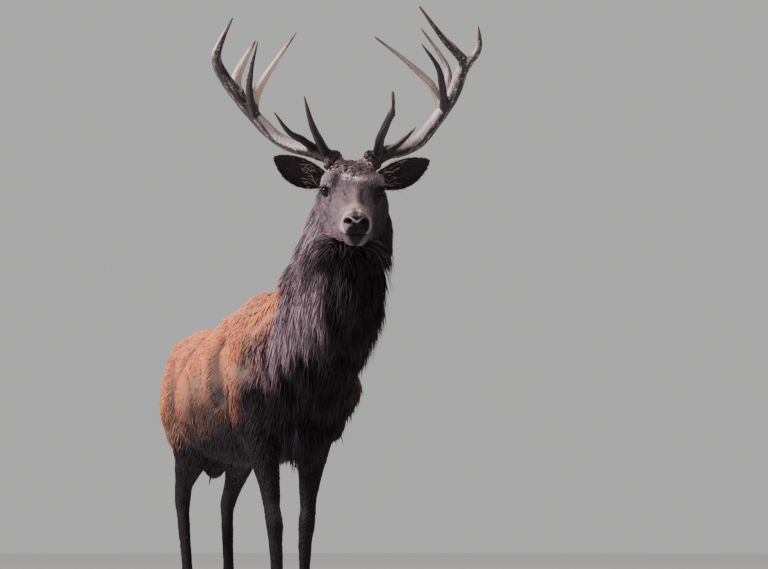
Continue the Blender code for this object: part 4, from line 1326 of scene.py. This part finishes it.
def coat_tail():
    """Hair of the tail, hanging, and the fringes of longer hair under belly and flanks."""
    skin = Skin()
    x, y, z = skin.spots.T
    roots = Roots(skin, skin.tail, SMALL_PARTS["tail"], 91)
    tail = tufts("tail_hair", roots, "trunk", roots.between(0.035, 0.060),
                 roots.between(0.004, 0.007), np.radians(14), np.radians(2), steps=3, wave=0.04)
    under = skin.trunk * smooth(-0.35, -0.8, skin.normals[:, 2]) * smooth(0.45, 0.38, y)
    belly = Roots(skin, under, SMALL_PARTS["belly"], 93)
    belly.lie = unit(belly.lie + np.array((0, 0.2, -0.8)))
    groin = hump((belly.spots[:, 1], 0.33, 0.11)) * smooth(0.13, 0.08, np.abs(belly.spots[:, 0]))
    fringe = tufts("belly_fringe", belly, "trunk", belly.between(0.035, 0.065) * (1 + 0.2 * groin),
                   belly.between(0.004, 0.008) * (1 + 0.4 * groin), np.radians(26), np.radians(10),
                   steps=3, wave=0.06, stray=0.25, hang=1.6 * groin)
    edge = np.interp(y, *np.array(DARK_EDGE).T)
    band = hump((z - edge, 0.010, 0.022)) * (y > -0.5)
    lower = Roots(skin, (skin.trunk + skin.upper_leg) * band, SMALL_PARTS["flank_edge"], 95)
    x, y, z = lower.spots.T
    shade = smooth(0.06, -0.16, y) * np.where(x > 0, 1.0, 0.7)
    lower.body[:, 1] *= 1 - (1 - shade) * lower.between(0.0, 1.0)
    border = tufts("flank_fringe", lower, "trunk", lower.between(0.035, 0.060),
                   lower.between(0.004, 0.007), np.radians(11), np.radians(2), steps=3, wave=0.06,
                   stray=0.2)
    item = joined("coat_tail_belly", tail, fringe, border)
    settle(item, (), coat_finish("stag_fringe_hair", 0.45, 0.14))


# ---------------------------------------------------------------- eyes, antlers, hooves

def build_eye(side):
    """One eyeball with its bulging cornea."""
    clear_selection()
    bpy.ops.mesh.primitive_uv_sphere_add(segments=48, ring_count=32, radius=EYEBALL,
                                         location=tuple(EYES[side]))
    item = bpy.context.object
    item.name = item.data.name = "eye_" + side
    bpy.ops.object.transform_apply(location=True, rotation=True, scale=True)
    outward, level, rise = gaze(side)
    points = coordinates(item.data)
    span = points - EYES[side]
    points += outward * (0.0014 * smooth(0.80, 0.97, unit(span) @ outward))[:, None]
    place(item.data, points)
    write(item.data, "across", (span @ level) / EYE_RADIUS)
    write(item.data, "rise", (span @ rise) / EYE_RADIUS)
    settle(item, (side + "_eye",), eye_finish())


# The beams from the root up, in the head's axes, in millimetres.
RIGHT_BEAM = metres((
    (-55, 70, 92), (-79, 60, 110), (-127, 34, 122), (-190, 0, 130), (-250, -28, 155),
    (-316, -40, 220), (-365, -32, 280), (-417, -10, 355), (-434, 10, 410), (-420, 30, 460),
    (-383, 60, 540),
))
LEFT_BEAM = metres((
    (55, 70, 92), (79, 60, 110), (118, 34, 122), (172, 0, 127), (222, -22, 150), (262, -38, 196),
    (299, -40, 250), (330, -32, 312), (348, -18, 375), (353, -5, 412), (323, 15, 447),
    (269, 40, 502), (195, 80, 593),
))
# Tines: name, places and radius at the root in millimetres, and how bleached the bone is.
RIGHT_TINES = (
    ("brow", ((-80, 60, 112), (-108, 115, 172), (-135, 160, 236), (-160, 200, 328)), 16, -0.45),
    ("bez", ((-112, 38, 122), (-156, 90, 165), (-205, 125, 200), (-251, 155, 267)), 14, -0.45),
    ("trez", ((-310, -40, 215), (-326, 0, 270), (-330, 30, 325), (-322, 65, 395), (-303, 100, 478)),
     14.5, -0.15),
    ("inner", ((-325, -40, 232), (-310, -52, 285), (-278, -50, 345), (-184, -35, 488)), 20, 0.9),
    ("rear", ((-368, -30, 285), (-374, -60, 330), (-350, -80, 385), (-313, -100, 451)), 20, 1.0),
)
LEFT_TINES = (
    ("brow", ((82, 60, 112), (84, 115, 178), (101, 160, 242), (115, 192, 292), (111, 207, 350)),
     15.5, -0.45),
    ("bez", ((110, 38, 122), (152, 85, 165), (195, 130, 224)), 13, -0.45),
    ("front", ((302, -38, 250), (285, 15, 335), (262, 55, 405), (204, 100, 481)), 13.5, -0.20),
    ("middle", ((318, -36, 280), (313, -60, 340), (300, -82, 400), (219, -100, 506)), 14.5, 0.4),
    ("inner", ((298, -40, 245), (262, -50, 320), (215, -55, 367), (150, -50, 420), (65, -35, 482)),
     14.5, 0.55),
    ("hook", ((353, -12, 388), (373, 2, 418), (391, 15, 447), (396, 30, 482), (386, 50, 535)), 14.5,
     0.2),
)
# How thick the beam is, in metres, at each share of its length, and every tine at its tip.
BEAM_SHARES = (0.0, 0.035, 0.060, 0.100, 0.300, 0.620, 0.850, 1.000)
BEAM_RADII = (0.0300, 0.0325, 0.0290, 0.0235, 0.0218, 0.0215, 0.0140, 0.0035)
TINE_TIP = 0.0022


def tube(path, radii, sides=18):
    """Points and faces of a closed tapering tube along a path."""
    ways = unit(np.gradient(path, axis=0))
    side = unit(np.cross(ways[0], (0.3, 0.2, 1.0)))
    angles = (np.arange(sides) * 2 * math.pi / sides)[:, None]
    rings = []
    for point, way, radius in zip(path, ways, radii):
        side = unit(side - way * (side @ way))
        rings.append(point + radius * (np.cos(angles) * side + np.sin(angles) * np.cross(way, side)))
    points = np.vstack(rings + [path[:1], path[-1:] + ways[-1:] * radii[-1] * 0.8])
    return points, tube_faces(len(path), sides)


def radii_along(side, name, path, root):
    """How far along a beam or tine each place of its path is, and how thick it is there."""
    share = np.linspace(0, 1, len(path))
    if root is None:
        return share, np.interp(share, BEAM_SHARES, BEAM_RADII)
    radii = TINE_TIP + (root / 1000 - TINE_TIP) * (1 - share ** 1.5) ** 0.8
    radii = radii * (1 + 0.25 * hump((share, 0, 0.10)))
    if (side, name) == ("L", "brow"):
        radii = radii * (1 + 0.35 * hump((share, 0.66, 0.05)) - 0.25 * hump((share, 0.78, 0.05))
                         + 0.55 * hump((share, 0.95, 0.04)))
    return share, radii


def antler_facts(points, rods):
    """For each point the nearest place on the rods: where, which way, how far along, and so on."""
    tree = KDTree(sum(len(path) for path, *_ in rods))
    facts = []
    for index, (path, share, radii, bleach) in enumerate(rods):
        ways = unit(np.gradient(path, axis=0))
        length = np.concatenate(([0], np.cumsum(np.linalg.norm(np.diff(path, axis=0), axis=1))))
        for k, point in enumerate(path):
            if index and length[k] < 0.020:
                continue
            tree.insert(point, len(facts))
            facts.append((*point, *ways[k], share[k], bleach, length[k], index, radii[k]))
    tree.balance()
    near = np.array(facts)[[tree.find(point)[1] for point in points]]
    return near[:, :3], near[:, 3:6], *near[:, 6:].T


def build_antler(side):
    """One antler: beam, burr and tines fused, then furrowed and pearled."""
    beam, tines = (RIGHT_BEAM, RIGHT_TINES) if side == "R" else (LEFT_BEAM, LEFT_TINES)
    rods, pieces = [], []
    for name, rows, root, bleach in (("beam", beam, None, 0.05),) + tines:
        path = out_of_head(through(rows if root is None else metres(rows), 8))
        share, radii = radii_along(side, name, path, root)
        pieces.append(mesh_from("antler_rod", *tube(path, radii)))
        rods.append((path, share, radii, bleach))
    item = joined("antler_" + side, *pieces)
    fuse(item, HORN_VOXEL, 4)
    mesh = item.data
    points, normals = coordinates(mesh), normals_of(mesh)
    centre, way, share, bleach, length, which, radius = antler_facts(points, rods)
    span = points - centre
    along = length + np.sum(span * way, axis=1)
    first = unit(np.cross(way, (0.31, 0.22, 0.92)))
    second = np.cross(way, first)
    angle = np.arctan2(np.sum(span * second, 1), np.sum(span * first, 1)) + which
    furrows = np.zeros(len(points))
    for order, pitch in ((5, 0.34), (8, 0.21), (11, 0.27), (15, 0.13)):
        wander = 2.2 * np.sin(along / pitch * ROUND + order)
        furrows += np.sin(angle * order + wander) / order ** 0.5
    furrows = np.clip(furrows / 1.1, -1, 1)
    worn = smooth(1.0, 0.55, share)
    pearls = np.maximum(ripple(points, 0.0085, 5, 12), 0) ** 1.5
    low = np.where(which == 0, np.exp(-along / 0.20), 0.5 * np.exp(-along / 0.05))
    knobs = np.maximum(np.cos(angle * 9 + 1.3 * np.sin(angle * 4)), 0)
    knobs = knobs * hump((along, 0.016, 0.010)) * (which == 0)
    rise = (furrows * 0.0009 * (0.25 + 0.75 * worn) + pearls * low * 0.0042 + knobs * 0.0045
            + 0.0006 * ripple(points, 0.035, 6))
    place(mesh, points + normals * (rise * smooth(0.004, 0.010, radius))[:, None])
    tips = smooth(np.where(which == 0, 0.90, 0.78), 1.0, share)
    # Paler bone facing up, forward and to the stag's right: partly the polish of exposed bone, partly
    # painted highlight where the light falls.
    polish_and_highlight = smooth(0.10, 0.75, normals @ unit(np.array((-0.55, -0.50, 0.65))))
    ridge_and_highlight = 0.20 + 0.26 * furrows + 0.4 * pearls + 0.62 * polish_and_highlight + np.minimum(bleach, 0)
    places = into_head(points)
    ridge_and_highlight -= 0.75 * smooth(0.135, 0.085, np.abs(places[:, 0])) * smooth(0.32, 0.18, places[:, 2])
    write(mesh, "ridge_and_highlight", np.clip(spread(ridge_and_highlight, edges_of(mesh), 2), 0, 1))
    write(mesh, "tip", tips)
    write(mesh, "bleach", spread(bleach, edges_of(mesh), 10))
    nodes = [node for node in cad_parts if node.startswith(side + "_antler_")]
    settle(item, nodes, antler_finish())


def build_hooves():
    """Claws and dewclaws of all four feet, each rounded and ringed, the claws flat on their soles."""
    finish = horn_finish()
    for node in sorted(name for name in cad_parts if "claw" in name):
        item = copy_of([node], "horn_" + node)
        small = "dewclaw" in node
        if small:
            apply(item, "SUBSURF", levels=2, render_levels=2)
        else:
            apply(item, "BEVEL", width=0.0042, segments=3, limit_method="ANGLE", angle_limit=0.5)
            fuse(item, HORN_VOXEL, 4)
        points, normals = coordinates(item.data), normals_of(item.data)
        height = points[:, 2]
        rings = np.sin(height * ROUND / 0.0065 + 1.5 * ripple(points, 0.05, 7))
        level = normals * (1, 1, 0)
        points += level * (rings * 0.00035)[:, None]
        if not small:
            low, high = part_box(node)
            rise = np.clip((height - low.z) / (high.z - low.z), 0, 1)
            toe = smooth(0.0, -0.045, points[:, 1] - (low.y + high.y) / 2)
            points += level * (0.0016 * smooth(0.7, 1.0, rise))[:, None]
            points[:, 1] += 0.0025 * toe * np.sin(rise * math.pi)
            bottom = points[:, 2].min()
            points[:, 2] = np.where(points[:, 2] < bottom + 0.0016, 0.0, points[:, 2])
        place(item.data, points)
        settle(item, (node,), finish)


# ---------------------------------------------------------------- stage

CAMERA_PLACE = Vector((-1.798, -4.950, 0.360))
CAMERA_TURN = (math.radians(99.9), 0.0, math.radians(-25.4))
CAMERA_LENS = 67.97


def soft_light(name, place_at, target, size, power, colour):
    """A square soft light aimed at a target."""
    light = bpy.data.lights.new(name, "AREA")
    light.size = size
    light.energy = power
    light.color = colour
    item = new_object(name, light)
    item.location = place_at
    item.rotation_euler = (Vector(target) - Vector(place_at)).to_track_quat("-Z", "Y").to_euler()


def build_stage():
    """Floor, camera and studio light."""
    settings = bpy.context.scene.stag_stage
    clear_selection()
    bpy.ops.mesh.primitive_circle_add(vertices=96, radius=30.0, fill_type="NGON",
                                      location=(0, 0, -0.0006))
    floor = bpy.context.object
    floor.name = floor.data.name = "studio_floor"
    bpy.ops.object.transform_apply(location=True)
    floor.data.materials.append(floor_finish())
    camera = new_object("camera", bpy.data.cameras.new("camera"))
    camera.data.sensor_width = 36.0
    camera.data.lens = CAMERA_LENS
    camera.data.clip_end = 200.0
    camera.location = CAMERA_PLACE + Vector(PLAN_SHIFT)
    camera.rotation_euler = CAMERA_TURN
    bpy.context.scene.camera = camera
    world = bpy.data.worlds.new("studio")
    world.use_nodes = True
    world.node_tree.nodes["Background"].inputs[0].default_value = (*settings.backdrop, 1.0)
    world.node_tree.nodes["Background"].inputs[1].default_value = settings.ambient
    bpy.context.scene.world = world
    middle = (0.0, -0.1, 1.1)
    soft_light("key", (-5.0, 0.9, 4.2), middle, 1.6, settings.key, (1.0, 0.92, 0.84))
    soft_light("rim", (2.6, 4.4, 3.4), middle, 2.0, settings.rim, (0.86, 0.91, 1.0))
    soft_light("front", (-1.0, -6.0, 2.6), middle, 3.0, settings.front, (1.0, 0.97, 0.94))


# ---------------------------------------------------------------- add-on

def colour_property(name, description, default):
    """A colour in the sidebar."""
    return bpy.props.FloatVectorProperty(name=name, description=description, subtype="COLOR",
                                         size=3, min=0.0, max=1.0, default=default)


class StagCoatSettings(bpy.types.PropertyGroup):
    """Colours and sizes of the coat."""

    back: colour_property("Back", "Hair of the back and rump", (0.468, 0.148, 0.069))
    # The flank's greyer hair, also standing for painted shade low on the flank and in the folds'
    # hollows.
    flank: colour_property("Flank", "Greyer hair of the flank", (0.170, 0.090, 0.069))
    mane: colour_property("Mane", "Hair of the neck and face", (0.160, 0.112, 0.142))
    # Dark hair, also standing for painted shade: low flank, folds' hollows, far shoulder, left of neck
    # and face, and under the jaw.
    dark: colour_property("Dark", "Hair of throat, belly and legs", (0.008, 0.006, 0.009))
    # Pale hair, also standing for painted highlights on forehead, brows, crown curls, withers and the
    # glint on the nose.
    pale: colour_property("Pale", "Hair round the nose, on chin and forehead",
                          (0.620, 0.490, 0.480))
    # Pinkish hair, also standing for the painted reflection on top of the nose pad.
    warm: colour_property("Warm", "Pinkish hair along the nose", (0.365, 0.235, 0.245))
    # Bare black skin, also standing for painted shade over the left of the upper lip.
    black: colour_property("Black", "Bare skin of nose, lips and lids", (0.007, 0.004, 0.008))
    body_length: bpy.props.FloatProperty(
        name="Body hair", description="Length of a tuft on the trunk", default=0.030, unit="LENGTH")
    mane_length: bpy.props.FloatProperty(
        name="Mane", description="Length of a lock of the mane", default=0.115, unit="LENGTH")
    trunk_tufts: bpy.props.IntProperty(
        name="Body tufts", description="Tufts on each side of the trunk", default=12500)
    mane_locks: bpy.props.IntProperty(
        name="Mane locks", description="Long locks in each quarter of the mane", default=6400)
    face_tufts: bpy.props.IntProperty(
        name="Face tufts", description="Tufts on the face", default=18500)
    leg_tufts: bpy.props.IntProperty(
        name="Leg tufts", description="Tufts on each pair of legs", default=9500)
    crown_curls: bpy.props.IntProperty(
        name="Crown curls", description="Curls on the crown", default=1000)


class StagAntlerSettings(bpy.types.PropertyGroup):
    """Colours of the antlers."""

    furrow: colour_property("Furrows", "Bone in the furrows", (0.010, 0.005, 0.009))
    # Bone on the ridges, and where the highlight is painted.
    bone: colour_property("Bone", "Bone on the ridges", (0.440, 0.350, 0.372))
    worn: colour_property("Worn", "Rubbed, bleached bone", (0.430, 0.310, 0.260))
    tip: colour_property("Tips", "Dark tips", (0.070, 0.042, 0.040))


class StagStageSettings(bpy.types.PropertyGroup):
    """The studio."""

    backdrop: colour_property("Backdrop", "Colour of the studio's surroundings",
                              (0.80, 0.79, 0.785))
    ambient: bpy.props.FloatProperty(name="Ambient", description="Strength of the soft fill",
                                     default=0.62)
    key: bpy.props.FloatProperty(name="Key", description="Power of the key light", default=1050.0)
    rim: bpy.props.FloatProperty(name="Rim", description="Power of the light behind", default=90.0)
    front: bpy.props.FloatProperty(name="Front", description="Power of the front fill",
                                   default=30.0)


class STAG_OT_stage(bpy.types.Operator):
    """Set up floor, camera and light."""

    bl_idname = "stag.stage"
    bl_label = "Stage"

    def execute(self, context):
        build_stage()
        return {"FINISHED"}


class STAG_OT_skin(bpy.types.Operator):
    """Fuse and sculpt the skin."""

    bl_idname = "stag.skin"
    bl_label = "Skin"

    def execute(self, context):
        build_skin()
        return {"FINISHED"}


class STAG_OT_eyes(bpy.types.Operator):
    """Set both eyes."""

    bl_idname = "stag.eyes"
    bl_label = "Eyes"

    def execute(self, context):
        for side in "LR":
            build_eye(side)
        return {"FINISHED"}


class STAG_OT_antlers(bpy.types.Operator):
    """Grow both antlers."""

    bl_idname = "stag.antlers"
    bl_label = "Antlers"

    def execute(self, context):
        for side in "LR":
            build_antler(side)
        return {"FINISHED"}


class STAG_OT_hooves(bpy.types.Operator):
    """Shape claws and dewclaws."""

    bl_idname = "stag.hooves"
    bl_label = "Hooves"

    def execute(self, context):
        build_hooves()
        return {"FINISHED"}


class STAG_OT_body_coat(bpy.types.Operator):
    """Grow the hair of trunk, tail and legs."""

    bl_idname = "stag.body_coat"
    bl_label = "Body coat"

    def execute(self, context):
        for side in "LR":
            coat_trunk(side)
        for pair in ("fore", "hind"):
            coat_legs(pair)
        coat_tail()
        return {"FINISHED"}


class STAG_OT_mane(bpy.types.Operator):
    """Grow the mane."""

    bl_idname = "stag.mane"
    bl_label = "Mane"

    def execute(self, context):
        for side in "LR":
            for half in ("upper", "lower"):
                coat_neck(side, half)
        return {"FINISHED"}


class STAG_OT_head_coat(bpy.types.Operator):
    """Grow the hair of face, crown and ears."""

    bl_idname = "stag.head_coat"
    bl_label = "Head coat"

    def execute(self, context):
        coat_face()
        coat_crown()
        coat_ears()
        return {"FINISHED"}


OPERATORS = (STAG_OT_stage, STAG_OT_skin, STAG_OT_eyes, STAG_OT_antlers, STAG_OT_hooves,
             STAG_OT_body_coat, STAG_OT_mane, STAG_OT_head_coat)
SETTINGS = (("stag_coat", StagCoatSettings), ("stag_antlers", StagAntlerSettings),
            ("stag_stage", StagStageSettings))


class STAG_PT_panel(bpy.types.Panel):
    """The stag's pieces and settings in the sidebar."""

    bl_idname = "STAG_PT_panel"
    bl_label = "Red deer stag"
    bl_space_type = "VIEW_3D"
    bl_region_type = "UI"
    bl_category = "Stag"

    def draw(self, context):
        for name, group in SETTINGS:
            box = self.layout.box()
            for field in group.__annotations__:
                box.prop(getattr(context.scene, name), field)
        for operator in OPERATORS:
            self.layout.operator(operator.bl_idname)


CLASSES = tuple(group for _, group in SETTINGS) + OPERATORS + (STAG_PT_panel,)


def register():
    """Make operators, settings and panel known to Blender."""
    for item in CLASSES:
        bpy.utils.register_class(item)
    for name, group in SETTINGS:
        setattr(bpy.types.Scene, name, bpy.props.PointerProperty(type=group))


def unregister():
    """Take them away again."""
    for name, _ in SETTINGS:
        delattr(bpy.types.Scene, name)
    for item in reversed(CLASSES):
        bpy.utils.unregister_class(item)


def main():
    """Register, and build every piece."""
    register()
    for operator in OPERATORS:
        family, name = operator.bl_idname.split(".")
        getattr(getattr(bpy.ops, family), name)()


if __name__ == "__main__":
    main()
